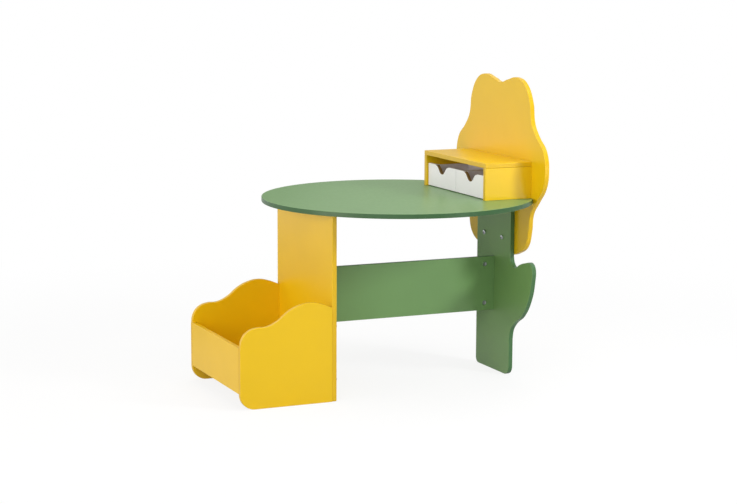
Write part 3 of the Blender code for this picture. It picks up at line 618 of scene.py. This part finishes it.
# %% [markdown]
# ## The wide leg and the stem leg
#
# The wide leg is a plain panel with small rounded lower corners, and it is also the back of the
# toy bin. The narrow leg is cut as a plant's stem, with a leaf that curls out towards the near
# side. Its leaf is eleven points, given as the distance out from the stem's edge and the height
# above the floor. The upper ends of both legs stay square, because they meet the underside of
# the top.

# %% Legs
WIDE_LEG_CORNER = 0.004
STEM_NEAR_CORNER = 0.025
STEM_FAR_CORNER = 0.015
LEAF_TOP = 0.318
LEAF_FOOT = 0.098
LEAF_CURVE = ((0.0065, 0.300), (0.0255, 0.291), (0.048, 0.302), (0.080, 0.312), (0.106, 0.3145),
              (0.1185, 0.301), (0.1175, 0.269), (0.1015, 0.218), (0.066, 0.170), (0.026, 0.144),
              (0.006, 0.122))

side = wide_high.y
wide_outline = sharp([(-side, LEG_TOP)])
wide_outline += sharp(fillet((-side, LEG_TOP), (-side, 0), (side, 0), WIDE_LEG_CORNER))
wide_outline += sharp(fillet((-side, 0), (side, 0), (side, LEG_TOP), WIDE_LEG_CORNER))
wide_outline += sharp([(side, LEG_TOP)])
painted_board("bin_leg_panel", wide_outline, "X", "yellow_paint", square=[("Z", LEG_TOP)])

side = stem_high.y
stem_outline = sharp([(-side, LEG_TOP), (-side, LEAF_TOP)])
stem_outline += smooth([(-side - out, height) for out, height in LEAF_CURVE])
stem_outline += sharp([(-side, LEAF_FOOT)])
stem_outline += sharp(fillet((-side, LEAF_FOOT), (-side, 0), (side, 0), STEM_NEAR_CORNER))
stem_outline += sharp(fillet((-side, 0), (side, 0), (side, LEG_TOP), STEM_FAR_CORNER))
stem_outline += sharp([(side, LEG_TOP)])
painted_board("stem_leg_panel", stem_outline, "X", "green_paint", square=[("Z", LEG_TOP)])

# %% [markdown]
# ## The rail
#
# A rail on edge ties the legs together and carries four cam locks on its near face. Its ends
# butt against the legs, so they stay square.

# %% Rail
rail_low, rail_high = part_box("stretcher_rail")
rail_start = wide_high.x + FIT
rail_end = stem_low.x - FIT
painted_board("stretcher_rail", rectangle(rail_start, rail_low.z, rail_end, rail_high.z), "Y",
              "green_paint", square=[("X", rail_start), ("X", rail_end)])

# %% [markdown]
# ## The petal-shaped backboard
#
# The backboard is symmetric, so we write only half of it, as the distance from the middle and
# the height above the tabletop, and mirror the points.

# %% Backboard
PETALS = ((0.000, 0.286), (0.040, 0.295), (0.088, 0.303), (0.132, 0.288), (0.163, 0.245),
          (0.175, 0.191), (0.199, 0.160), (0.239, 0.124), (0.251, 0.074), (0.240, 0.030),
          (0.207, -0.008), (0.176, -0.044), (0.169, -0.085), (0.153, -0.128), (0.112, -0.152),
          (0.059, -0.164), (0.000, -0.168))
petal_half = [(out, TABLE_HEIGHT + rise) for out, rise in PETALS]
painted_board("backboard", smooth(both_halves(petal_half)), "X", "yellow_paint")

# %% [markdown]
# ## The toy bin
#
# Each side of the bin waves down from the leg to a low front and ends in a rounded toe. The
# points are the distance out from the leg and the height above the floor. The front and the
# floor are plain boards held between the sides. Their boxes include the dowels in their ends, so
# their ends come from the faces of the sides.

# %% Bin
BIN_BACK_HEIGHT = 0.2375
BIN_SHOULDER = 0.148
BIN_TOE_RADIUS = 0.038
BIN_WAVE = ((0.026, 0.2478), (0.056, 0.2535), (0.086, 0.2488), (0.112, 0.237), (0.145, 0.2122),
            (0.171, 0.2018), (0.198, 0.2008), (0.220, 0.1932), (0.2358, 0.1745))
FLOOR_EDGE_ROUND = 0.0005
bin_back = wide_low.x - FIT
bin_front = bin_near_low.x

bin_outline = sharp([(bin_back, 0), (bin_back, BIN_BACK_HEIGHT)])
bin_outline += smooth([(bin_back - out, height) for out, height in BIN_WAVE])
bin_outline += sharp([(bin_front, BIN_SHOULDER)])
bin_outline += sharp(fillet((bin_front, BIN_SHOULDER), (bin_front, 0), (bin_back, 0), BIN_TOE_RADIUS))
for node in ("bin_side_near", "bin_side_far"):
    painted_board(node, bin_outline, "Y", "yellow_paint", square=[("X", bin_back)])

near_end = bin_near_high.y + FIT
far_end = bin_far_low.y - FIT
front_low, front_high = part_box("bin_front_panel")
painted_board("bin_front_panel", rectangle(near_end, front_low.z, far_end, front_high.z), "X",
              "yellow_paint", square=[("Y", near_end), ("Y", far_end)])
floor_low, floor_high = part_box("bin_bottom_panel")
painted_board("bin_bottom_panel", rectangle(floor_low.x, near_end, floor_high.x, far_end), "Z",
              "yellow_paint", radius=FLOOR_EDGE_ROUND)

# %% [markdown]
# ## The shelf
#
# Two short sides stand on the tabletop and carry the shelf's top. They end a gap below it, and
# their feet and backs are square.

# %% Shelf
painted_board("shelf_top_panel", rectangle(shelf_low.x, shelf_low.y, shelf_high.x, shelf_high.y), "Z",
              "yellow_paint", square=[("X", shelf_high.x)])
side_top = shelf_low.z - FIT
for node in ("shelf_side_near", "shelf_side_far"):
    low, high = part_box(node)
    painted_board(node, rectangle(low.x, low.z, high.x, side_top), "Y", "yellow_paint",
                  square=[("X", high.x), ("Z", low.z)])

# %% [markdown]
# ## The drawers
#
# A drawer is a loose box: a front with a finger notch, two sides, a back, and a hardboard bottom
# let into grooves. We make the notch as a curve through nine points between two sharp corners:
# half of it is written down, as shares of the half width and of the depth, and mirrored. The
# groove in each board is the room that the bottom needs, so its cutter is the bottom's own box, a
# little larger. The faces in the notch get a mark in the mesh, which the lacquer reads to leave
# them bare.

# %% Drawers
DRAWER_ROUND = 0.001
NOTCH_WIDTH = 0.084
NOTCH_DEPTH = 0.022
NOTCH_SHAPE = ((0.76, 0.08), (0.58, 0.26), (0.42, 0.56), (0.24, 0.88), (0.0, 1.0))
FLAT_FACE = 0.94    # a normal with at least this much of X belongs to the flat front
room = Vector((FIT, FIT, FIT))


def block(low, high):
    """Closed mesh of the box between two corners."""
    bm = bmesh.new()
    bmesh.ops.create_cube(bm, size=1)
    bmesh.ops.scale(bm, verts=bm.verts, vec=high - low)
    bmesh.ops.translate(bm, verts=bm.verts, vec=(low + high) / 2)
    return mesh_from("block", bm)


def drawer_front_outline(low, high):
    """Rectangle with the finger notch in its upper edge."""
    middle = (low.y + high.y) / 2
    half = NOTCH_WIDTH / 2
    notch = both_halves([(half * across, high.z - NOTCH_DEPTH * down) for across, down in NOTCH_SHAPE])
    outline = sharp([(low.y, high.z), (low.y, low.z), (high.y, low.z), (high.y, high.z)])
    outline += sharp([(middle + half, high.z)])
    outline += smooth([(middle + across, height) for across, height in notch])
    return outline + sharp([(middle - half, high.z)])


def bare_notch(board, low, high):
    """Mark the cut faces of the notch, which stay unpainted."""
    middle = (low.y + high.y) / 2
    bare = board.data.attributes.new("bare_cut", "FLOAT", "FACE")
    bare.data.foreach_set("value", [
        abs(face.normal.x) < FLAT_FACE
        and abs(face.center.y - middle) < NOTCH_WIDTH / 2
        and low.z + BOARD < face.center.z < high.z - DRAWER_ROUND
        for face in board.data.polygons])


for drawer in ("drawer_near", "drawer_far"):
    base_low, base_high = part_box(drawer + "_base")
    for part, axis in (("front", "X"), ("left_side", "Y"), ("right_side", "Y"), ("back", "X")):
        node = f"{drawer}_{part}"
        low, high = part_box(node)
        along = "y" if axis == "X" else "x"
        outline = rectangle(getattr(low, along), low.z, getattr(high, along), high.z)
        if part == "front":
            outline = drawer_front_outline(low, high)
        board = painted_board(node, outline, axis, "white_paint", radius=DRAWER_ROUND,
                              cutters=[block(base_low - room, base_high + room)])
        if part == "front":
            bare_notch(board, low, high)

# %% [markdown]
# ## The round top, by Geometry Nodes
#
# The top follows a rule: a circle, cut straight where the backboard stands. A rule is what
# Geometry Nodes are good at. The tree draws the arc, closes it along the cut, fills it and gives
# it thickness. Its inputs are the radius, the distance from the centre to the cut, the
# thickness and the number of steps, so the same tree would make any such top.

# %% Build and run a geometry tree
RIM_STEPS = 360


def new_tree(name, inputs):
    """Geometry tree with named inputs, a way to add nodes to it, and the values it is given."""
    tree = bpy.data.node_groups.new(name, "GeometryNodeTree")
    tree.interface.new_socket(name="Geometry", in_out="OUTPUT", socket_type="NodeSocketGeometry")
    tree.interface.new_socket(name="Geometry", in_out="INPUT", socket_type="NodeSocketGeometry")
    for label, kind in inputs:
        tree.interface.new_socket(name=label, in_out="INPUT", socket_type="NodeSocket" + kind)
    return tree, partial(add_node, tree), tree.nodes.new("NodeGroupInput").outputs


def close_tree(add, geometry, material):
    """End a tree in real, painted geometry."""
    real = add("GeometryNodeRealizeInstances", {"Geometry": geometry})
    painted = add("GeometryNodeSetMaterial", {"Geometry": real, "Material": material})
    add("NodeGroupOutput", {"Geometry": painted})


def run_tree(obj, tree, values):
    """Set a tree's inputs on an object, and keep the result as a plain mesh."""
    modifier = obj.modifiers.new(tree.name, "NODES")
    modifier.node_group = tree
    for item in tree.interface.items_tree:
        if item.in_out == "INPUT" and item.name in values:
            modifier[item.identifier] = values[item.name]
    bake_modifiers(obj)


def round_top_tree():
    """Circle cut straight, filled, thickened and moved to its place."""
    tree, add, given = new_tree("Round top with a straight cut", [
        ("Radius", "Float"), ("Cut Distance", "Float"), ("Thickness", "Float"), ("Steps", "Int"),
        ("Place", "Vector"), ("Material", "Material")])
    share = add("ShaderNodeMath", {0: given["Cut Distance"], 1: given["Radius"]}, operation="DIVIDE")
    half = add("ShaderNodeMath", {0: share}, operation="ARCCOSINE")
    sweep = add("ShaderNodeMath", {0: half, 1: -2.0, 2: math.tau}, operation="MULTIPLY_ADD")
    arc = add("GeometryNodeCurveArc", {
        "Resolution": given["Steps"], "Radius": given["Radius"], "Start Angle": half,
        "Sweep Angle": sweep}, mode="RADIUS")
    ring = add("GeometryNodeSetSplineCyclic", {"Geometry": arc, "Cyclic": True})
    face = add("GeometryNodeFillCurve", {"Curve": ring}, mode="NGONS")
    up = add("ShaderNodeCombineXYZ", {"Z": 1.0})
    raised = add("GeometryNodeExtrudeMesh", {
        "Mesh": face, "Offset": up, "Offset Scale": given["Thickness"], "Individual": False},
        mode="FACES")
    under = add("GeometryNodeFlipFaces", {"Mesh": face})
    both = add("GeometryNodeJoinGeometry", {"Geometry": raised})
    fill(both, {"Geometry": under})
    welded = add("GeometryNodeMergeByDistance", {"Geometry": both, "Distance": WELD})
    placed = add("GeometryNodeTransform", {"Geometry": welded, "Translation": given["Place"]})
    close_tree(add, placed, given["Material"])
    return tree


top_radius = top_high.y
top_centre_x = top_low.x + top_radius
round_top = new_object("tabletop_painted", bpy.data.meshes.new("tabletop_painted"))
run_tree(round_top, round_top_tree(), {
    "Radius": top_radius, "Cut Distance": top_high.x - top_centre_x,
    "Thickness": top_high.z - top_low.z, "Steps": RIM_STEPS,
    "Place": (top_centre_x, 0, top_low.z), "Material": TOP_LACQUER})
dress(round_top, "tabletop", "Z", "green_paint", square=[("X", top_high.x)], lacquer=TOP_LACQUER)
print("the round top's radius in mm:", round(top_radius * 1000, 1))

# %% [markdown]
# ## Locks, bolts and screws, by Geometry Nodes
#
# A fitting is turned: a small profile spun about its axis, with a recess for the tool. The tree
# takes the profile as an object, spins it by bending a grid round the axis, cuts the recess out,
# and puts a copy on each point that we give it. Each point carries the direction that its
# fitting faces, and a seeded random turn keeps the recesses from lining up like soldiers.

# %% Profiles and recesses
FITTING_SIDES = 40


def profile_object(name, points):
    """Line of (radius, height) points, from the middle of the top to the middle of the bottom."""
    mesh = bpy.data.meshes.new(name)
    edges = [(index, index + 1) for index in range(len(points) - 1)]
    mesh.from_pydata([(radius, 0, height) for radius, height in points], edges, [])
    return new_object(name, mesh)


def cross_recess(name, length, width, depth):
    """Two crossed blocks joined in one, the shape of a cross-head driver's tip."""
    bm = bmesh.new()
    for half_x, half_y in ((length / 2, width / 2), (width / 2, length / 2)):
        made = bmesh.ops.create_cube(bm, size=2)
        bmesh.ops.scale(bm, verts=made["verts"], vec=(half_x, half_y, depth))
    cross = new_object(name, mesh_from(name, bm))
    nothing = new_object("nothing", bpy.data.meshes.new("nothing"))
    union = cross.modifiers.new("One cross", "BOOLEAN")
    union.operation = "UNION"
    union.use_self = True
    union.object = nothing
    bake_modifiers(cross)
    bpy.data.objects.remove(nothing)
    return cross


def socket_recess(name, sides, radius, depth):
    """Prism that cuts a hexagon socket or a round hole."""
    bm = bmesh.new()
    bmesh.ops.create_cone(bm, cap_ends=True, segments=sides, radius1=radius, radius2=radius,
                          depth=2 * depth)
    return new_object(name, mesh_from(name, bm))


print("sides on a turned fitting:", FITTING_SIDES)

# %% [markdown]
# The grid's rows follow the profile's points and its columns go round the axis. A vertex finds
# its row and column from its index, reads the profile's radius and height at that row, and moves
# there. The two rows at the axis collapse to a point each and are welded.

# %% The tree for turned fittings
def fitting_tree():
    """Spin a profile, cut its recess, and put a copy on each point."""
    tree, add, given = new_tree("Turned fittings on points", [
        ("Profile", "Object"), ("Recess", "Object"), ("Sides", "Int"), ("Largest Turn", "Float"),
        ("Seed", "Int"), ("Material", "Material")])
    profile, recess = [add("GeometryNodeObjectInfo", {"Object": given[helper]}).outputs["Geometry"]
                       for helper in ("Profile", "Recess")]
    rows = add("GeometryNodeAttributeDomainSize", {"Geometry": profile}, component="MESH")
    columns = add("ShaderNodeMath", {0: given["Sides"], 1: 1.0}, operation="ADD")
    grid = add("GeometryNodeMeshGrid", {"Vertices X": columns, "Vertices Y": rows})
    index = add("GeometryNodeInputIndex")
    row = add("ShaderNodeMath", {0: index, 1: rows}, operation="MODULO")
    share = add("ShaderNodeMath", {0: index, 1: rows}, operation="DIVIDE")
    column = add("ShaderNodeMath", {0: share}, operation="FLOOR")
    step = add("ShaderNodeMath", {0: math.tau, 1: given["Sides"]}, operation="DIVIDE")
    angle = add("ShaderNodeMath", {0: column, 1: step}, operation="MULTIPLY")
    where = add("GeometryNodeInputPosition")
    point = add("GeometryNodeSampleIndex", {
        "Geometry": profile, "Value": where, "Index": row}, data_type="FLOAT_VECTOR")
    turned = add("ShaderNodeVectorRotate", {"Vector": point, "Angle": angle}, rotation_type="Z_AXIS")
    spun = add("GeometryNodeSetPosition", {"Geometry": grid, "Position": turned})
    solid = add("GeometryNodeMergeByDistance", {"Geometry": spun, "Distance": WELD})
    cut = add("GeometryNodeMeshBoolean", {
        "Mesh 1": solid, "Mesh 2": recess}, operation="DIFFERENCE", solver="EXACT")

    outward = add("GeometryNodeInputNamedAttribute", {"Name": "outward"}, data_type="FLOAT_VECTOR")
    facing = add("FunctionNodeAlignRotationToVector", {"Vector": outward}, axis="Z")
    chance = add("FunctionNodeRandomValue", {"Seed": given["Seed"]}, data_type="FLOAT")
    turn = add("ShaderNodeMath", {0: chance, 1: given["Largest Turn"]}, operation="MULTIPLY")
    about_axis = add("FunctionNodeAxisAngleToRotation", {"Axis": (0, 0, 1), "Angle": turn})
    rotation = add("FunctionNodeRotateRotation", {
        "Rotation": facing, "Rotate By": about_axis}, rotation_space="LOCAL")
    placed = add("GeometryNodeInstanceOnPoints", {
        "Points": given["Geometry"], "Instance": cut, "Rotation": rotation})
    close_tree(add, placed, given["Material"])
    return tree


FITTING_TREE = fitting_tree()


def fittings_on(name, nodes, outward_of, profile, recess, seed, material=PLATED_STEEL, turn=math.tau):
    """One object that holds a fitting for each node, and stands for those nodes."""
    base = bpy.data.meshes.new(name)
    spots = []
    directions = []
    for node in nodes:
        low, high = fittings[node]
        outward = Vector(outward_of(node))
        centre = (low + high) / 2
        reach = abs(outward.dot(high - low)) / 2
        spots.append(centre + outward * reach)
        directions += list(outward)
    base.from_pydata(spots, [], [])
    base.attributes.new("outward", "FLOAT_VECTOR", "POINT").data.foreach_set("vector", directions)
    piece = new_object(name, base)
    run_tree(piece, FITTING_TREE, {
        "Profile": profile, "Recess": recess, "Sides": FITTING_SIDES, "Largest Turn": turn,
        "Seed": seed, "Material": material})
    piece.data.shade_smooth()
    piece.data.set_sharp_from_angle(angle=SHARP_ANGLE)
    for helper in (profile, recess):
        bpy.data.objects.remove(helper)
    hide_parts(*nodes)
    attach(piece, "table")
    print(f"{name}: {len(nodes)} fittings, {len(piece.data.polygons)} faces")


# %% [markdown]
# ## The cam locks
#
# A cam lock is a small barrel of cast zinc. Its face has a raised rim, a slight dish and a deep
# cross for the screwdriver. Twelve of them pull the boards together: four on the rail, four high
# on the legs under the top, and four in the bin.

# %% Cam locks
LOCK_RIM = 0.0005
LOCK_DISH = 0.0007
LOCK_FACE = ((0, -LOCK_DISH), (0.0030, -LOCK_DISH), (0.0042, -0.0001), (0.0046, 0))
LOCK_CROSS = (0.0072, 0.0015, 0.0026)
LOCK_TURN = math.radians(50)
LOCKED_BOARDS = ("stretcher_rail", "bin_leg_panel", "stem_leg_panel", "bin_front_panel",
                 "bin_bottom_panel")


def lock_outward(node):
    """Direction that a lock faces: the side of the board that its face is nearest to."""
    low, high = fittings[node]
    across = fitting_axis(low, high)
    centre = (low + high) / 2
    home = next((a, b) for a, b in map(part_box, LOCKED_BOARDS)
                if all(a[i] < centre[i] < b[i] for i in range(3)))
    direction = Vector((0, 0, 0))
    direction[across] = 1 if nearer_high(low, high, *home, across) else -1
    return direction


locks = named("cam_lock")
lock_low, lock_high = fittings[locks[0]]
lock_sizes = sorted(lock_high - lock_low)
lock_radius = lock_sizes[2] / 2
lock_depth = lock_sizes[0]
lock_profile = profile_object("lock_profile", [
    *LOCK_FACE,
    (lock_radius - LOCK_RIM, 0),
    (lock_radius, -LOCK_RIM),
    (lock_radius, -lock_depth),
    (0, -lock_depth),
])
fittings_on("cam_locks", locks, lock_outward, lock_profile, cross_recess("lock_cross", *LOCK_CROSS),
            seed=3, material=CAST_ZINC, turn=LOCK_TURN)

# %% [markdown]
# ## Bolts and screws
#
# Two machine bolts with domed heads and a hexagon socket hold the stem leg to the backboard.
# Four long screws with low domed heads go through the wide leg into the bin's sides. Six
# countersunk screws lie flush in the back of the backboard and under the top.

# %% Bolts and screws
HEX = 6
DOME_STEPS = 6
BOLT_HEAD = (0.0042, 0.0012)                    # height of the head, and of its dome
BOLT_SOCKET = (0.0025, 0.0028)                  # radius, depth
SIDE_SCREW_HEAD = (0.0013, 0.0009)
SIDE_SCREW_CROSS = (0.0050, 0.0011, 0.0018)     # length, width, depth
FLUSH_SCREW_CROSS = (0.0044, 0.0010, 0.0018)
FLUSH_CHAMFER = 0.0002


def headed_profile(name, node, shank, head_height, dome):
    """Profile of a screw or bolt along X: a head with a domed top, then a shank with a blunt tip."""
    low, high = fittings[node]
    head = (high.y - low.y) / 2
    length = high.x - low.x
    points = [(0, 0)]
    for step in range(1, DOME_STEPS + 1):
        angle = math.pi / 2 * step / DOME_STEPS
        points.append((head * math.sin(angle), -dome * (1 - math.cos(angle))))
    points += [(head, -head_height), (shank, -head_height), (shank, shank - length), (0, -length)]
    return profile_object(name, points)


bolts = named("backboard_bolt")
bolt_profile = headed_profile("bolt_profile", bolts[0], SHANK_RADIUS["backboard_bolt"], *BOLT_HEAD)
fittings_on("backboard_bolts", bolts, lambda node: (-1, 0, 0), bolt_profile,
            socket_recess("bolt_socket", HEX, *BOLT_SOCKET), seed=5)

side_screws = named("bin_side_screw")
side_profile = headed_profile("side_screw_profile", side_screws[0], SHANK_RADIUS["side_screw"],
                              *SIDE_SCREW_HEAD)
fittings_on("bin_side_screws", side_screws, lambda node: (1, 0, 0), side_profile,
            cross_recess("side_screw_cross", *SIDE_SCREW_CROSS), seed=7)

flush_screws = named("back_screw", "foot_screw")
flush_low, flush_high = fittings[flush_screws[0]]
screw_length = max(flush_high - flush_low)
screw_shank = SHANK_RADIUS["back_screw"]
flush_profile = profile_object("flush_screw_profile", [
    (0, 0),
    (SCREW_HEAD_RADIUS - FLUSH_CHAMFER, 0),
    (SCREW_HEAD_RADIUS, -FLUSH_CHAMFER),
    (screw_shank, -SCREW_HEAD_HEIGHT),
    (screw_shank, screw_shank - screw_length),
    (0, -screw_length),
])
fittings_on("shelf_screws", flush_screws, lambda node: (1, 0, 0) if "back" in node else (0, 0, -1),
            flush_profile, cross_recess("flush_screw_cross", *FLUSH_SCREW_CROSS), seed=11)

# %% [markdown]
# ## What stays as measured
#
# The cam bolts and the threaded inserts are hidden in the boards, and the drawers' bottoms are
# plain sheets, so the measured shapes are already right. They only get their materials.

# %% Materials for the measured pieces that stay
kept = {node: obj for node, obj in frame["nodes"].items() if not obj.hide_render}
for node, obj in kept.items():
    for slot in obj.material_slots:
        slot.material = HARDBOARD if node.endswith("_base") else PLATED_STEEL
print("measured pieces that stay:", len(kept))

# %% [markdown]
# ## The studio floor
#
# The table stands on white paper in front of nothing. Lamps alone would leave the floor grey
# towards the horizon, so to the camera most of it is white by itself, and the rest is real paint
# that shows the table's soft shadow. The table gets the light of a pale grey floor back from it.
#
# In reflections a plain white room would lie on the lacquer like a veil. So to mirrored rays the
# floor is bright paper near the table, darker beyond it, white like a wall from three metres out,
# and shaded in one spot behind the table.

# %% Floor
FLOOR_SIZE = 30
FLOOR_TO_CAMERA = "#f6f6f6"
FLOOR_TO_TABLE = "#cacaca"
SHADOW_SHARE = 0.14
SHADOW_REACH = (0.7, 2.2)
PAPER_TONE = 0.62
PAPER_EDGE = (1.2, 1.7)
FAR_TONE = 0.42
WALL_FOOT = (2.6, 3.3)
SHADE_SPOT = (0.2, 1.7, 0)
SHADE_REACH = (1.0, 1.4)
SHADE_TONE = 0.4
WHITE = (1, 1, 1, 1)


def emptied(owner):
    """Empty the node tree of a material or world, and give a way to add nodes to it."""
    owner.use_nodes = True
    owner.node_tree.nodes.clear()
    return partial(add_node, owner.node_tree)


bm = bmesh.new()
bmesh.ops.create_grid(bm, x_segments=1, y_segments=1, size=FLOOR_SIZE / 2)
floor = new_object("floor", mesh_from("floor", bm))

paper = bpy.data.materials.new("White studio floor")
add = emptied(paper)
rays = add("ShaderNodeLightPath").outputs
spot = add("ShaderNodeTexCoord").outputs["Object"]
away = add("ShaderNodeVectorMath", {0: spot}, operation="LENGTH")
from_shade = add("ShaderNodeVectorMath", {0: spot, 1: SHADE_SPOT}, operation="DISTANCE")
unshaded, past_paper, at_wall, shade = [
    add("ShaderNodeMapRange", {
        "Value": distance, "From Min": start, "From Max": end, "To Min": inside, "To Max": outside},
        interpolation_type="SMOOTHSTEP")
    for distance, (start, end), inside, outside in (
        (away, SHADOW_REACH, 1 - SHADOW_SHARE, 1.0),
        (away, PAPER_EDGE, PAPER_TONE, FAR_TONE),
        (away, WALL_FOOT, 0.0, 1.0 - FAR_TONE),
        (from_shade, SHADE_REACH, SHADE_TONE, 1.0))]
shown = add("ShaderNodeMath", {
    0: rays["Is Camera Ray"], 1: rays["Is Transmission Ray"]}, operation="MAXIMUM")
direct = add("ShaderNodeMath", {0: shown, 1: unshaded}, operation="MULTIPLY")
share = add("ShaderNodeMath", {0: direct, 1: rays["Is Glossy Ray"]}, operation="MAXIMUM")
mirrored = add("ShaderNodeMath", {0: past_paper, 1: at_wall}, operation="ADD")
shaded = add("ShaderNodeMath", {0: mirrored, 1: shade}, operation="MULTIPLY")
strength = add("ShaderNodeMix", {
    "Factor": rays["Is Glossy Ray"], "A": 1.0, "B": shaded}, data_type="FLOAT")
bounce = add("ShaderNodeMix", {
    "Factor": rays["Is Camera Ray"], "A": linear(FLOOR_TO_TABLE), "B": linear(FLOOR_TO_CAMERA)},
    data_type="RGBA")
matt = add("ShaderNodeBsdfDiffuse", {"Color": bounce})
glow = add("ShaderNodeEmission", {"Color": WHITE, "Strength": strength})
mixed = add("ShaderNodeMixShader", {0: share, 1: matt, 2: glow})
add("ShaderNodeOutputMaterial", {"Surface": mixed})
floor.data.materials.append(paper)
print("floor in m:", FLOOR_SIZE, "and in mirrored rays the wall starts at", WALL_FOOT[0])

# %% [markdown]
# ## A ring of flags
#
# Photographers stand cards round a glossy object to choose what it mirrors. A low ring does that
# here. It is seen in reflections alone: white on the left, nearly black right of the middle, and
# grey at the right, so that each face of the lacquer gets its own tone.

# %% Grey flags
FLAG_RADIUS = 6
FLAG_SIDES = 64
FLAG_HEIGHT = 2.4
FLAG_FADE = (-1.8, 1.8)
FLAG_STEP = (1.9, 2.25)
FLAG_LEFT = 1.0
FLAG_MIDDLE = 0.03
FLAG_RIGHT = 0.36

bm = bmesh.new()
bmesh.ops.create_circle(bm, segments=FLAG_SIDES, radius=FLAG_RADIUS)
lift(bm, bmesh.ops.extrude_edge_only(bm, edges=bm.edges), (0, 0, FLAG_HEIGHT))
flag = new_object("grey_flag", mesh_from("grey_flag", bm))
for kind in ("camera", "diffuse", "shadow", "transmission"):
    setattr(flag, "visible_" + kind, False)

card = bpy.data.materials.new("Grey studio flag")
add = emptied(card)
spot = add("ShaderNodeTexCoord").outputs["Object"]
to_right = add("ShaderNodeSeparateXYZ", {"Vector": spot}).outputs["X"]
darker, lighter = [
    add("ShaderNodeMapRange", {
        "Value": to_right, "From Min": start, "From Max": end, "To Min": before, "To Max": after},
        interpolation_type="SMOOTHSTEP")
    for (start, end), before, after in (
        (FLAG_FADE, FLAG_LEFT, FLAG_MIDDLE),
        (FLAG_STEP, 0.0, FLAG_RIGHT - FLAG_MIDDLE))]
tone = add("ShaderNodeMath", {0: darker, 1: lighter}, operation="ADD")
grey = add("ShaderNodeEmission", {"Color": WHITE, "Strength": tone})
add("ShaderNodeOutputMaterial", {"Surface": grey})
flag.data.materials.append(card)
print("flag from left to right:", FLAG_LEFT, FLAG_MIDDLE, FLAG_RIGHT)

# %% [markdown]
# ## The room
#
# To the camera and in reflections the room is white. To the lacquer's own colour it gives only
# a little light from everywhere, and the lamps do the rest.

# %% Surroundings
AMBIENT = 0.31
world = bpy.data.worlds.new("Studio")
bpy.context.scene.world = world
add = emptied(world)
rays = add("ShaderNodeLightPath").outputs
seen = rays["Is Camera Ray"]
for ray in ("Is Glossy Ray", "Is Transmission Ray"):
    seen = add("ShaderNodeMath", {0: seen, 1: rays[ray]}, operation="MAXIMUM")
room_light, backdrop = [add("ShaderNodeBackground", {"Color": WHITE, "Strength": level})
                        for level in (AMBIENT, 1.0)]
mixed = add("ShaderNodeMixShader", {0: seen, 1: room_light, 2: backdrop})
add("ShaderNodeOutputWorld", {"Surface": mixed})
print("ambient light:", AMBIENT)

# %% [markdown]
# ## Soft boxes
#
# The key, a small lamp at the right front, shapes the boards with crisp light and shadow. Two
# more on the right, one low and one high, draw highlights along the rounded edges. Wide ones at
# the left front, at the left side and overhead fill the faces. The left side box is slightly warm
# and hangs low enough to shine under the top. Another low lamp, behind the table on the left,
# lights the green leg behind the rail, and the last one lights the rear. Three lamps are hidden
# from reflections, because from behind the glossy top would mirror them as white patches.

# %% Lamps
TARGET = Vector((0, 0, 0.35))
WHITE_LIGHT = "#ffffff"


def soft_box(name, azimuth, elevation, distance, size, watts, colour=WHITE_LIGHT, glossy=True):
    """Square lamp aimed at the table; azimuth 0 is in front, and positive angles are to the right."""
    around = math.radians(azimuth)
    up = math.radians(elevation)
    way = Vector((math.cos(up) * math.sin(around), -math.cos(up) * math.cos(around), math.sin(up)))
    lamp = bpy.data.lights.new(name, "AREA")
    lamp.shape = "SQUARE"
    lamp.size = size
    lamp.energy = watts
    lamp.color = linear(colour)[:3]
    box = new_object(name, lamp)
    box.location = TARGET + distance * way
    box.rotation_euler = (-way).to_track_quat("-Z", "Y").to_euler()
    box.visible_glossy = glossy
    print(f"{name}: {watts} W")


soft_box("Right front box", 40, 24, 2.5, 0.45, 27, glossy=False)
soft_box("Low right box", 28, 1, 3.0, 0.5, 5)
soft_box("High right box", 42, 56, 2.8, 0.7, 7)
soft_box("Left front box", -35, 20, 4.0, 1.8, 36)
soft_box("Low rear left box", -122, 4, 3.2, 0.8, 11, "#fffaf4", glossy=False)
soft_box("Left side box", -76, 9, 3.5, 1.8, 46, "#fff4e8")
soft_box("Overhead box", 0, 85, 2.8, 2.0, 32)
soft_box("Rear box", 150, 25, 3.5, 1.8, 25, glossy=False)

# %% [markdown]
# ## Camera
#
# The camera stands nearly five metres away with a long lens, which keeps the round top from
# looking egg-shaped. It looks slightly down and past the bin's corner. The two small shifts, half
# a pixel each, centre the picture as in the reference view.

# %% Camera
LENS = 92.04
SENSOR_WIDTH = 36
HALF_PIXEL = 0.5 / 737
CAMERA_PLACE = (-1.91681, -4.38318, 1.10179)
HEADING, TILT, ROLL = (math.radians(angle) for angle in (-23.82, 90 - 9.08, 0.24))
camera_data = bpy.data.cameras.new("Camera")
camera_data.lens = LENS
camera_data.sensor_width = SENSOR_WIDTH
camera_data.shift_x = -HALF_PIXEL
camera_data.shift_y = HALF_PIXEL
camera = new_object("Camera", camera_data)
camera.matrix_world = (
    Matrix.Translation(CAMERA_PLACE) @ Matrix.Rotation(HEADING, 4, "Z")
    @ Matrix.Rotation(TILT, 4, "X") @ Matrix.Rotation(ROLL, 4, "Z"))
bpy.context.scene.camera = camera
bpy.context.scene.view_settings.view_transform = "Standard"
print("camera at", [round(value, 2) for value in camera.location])
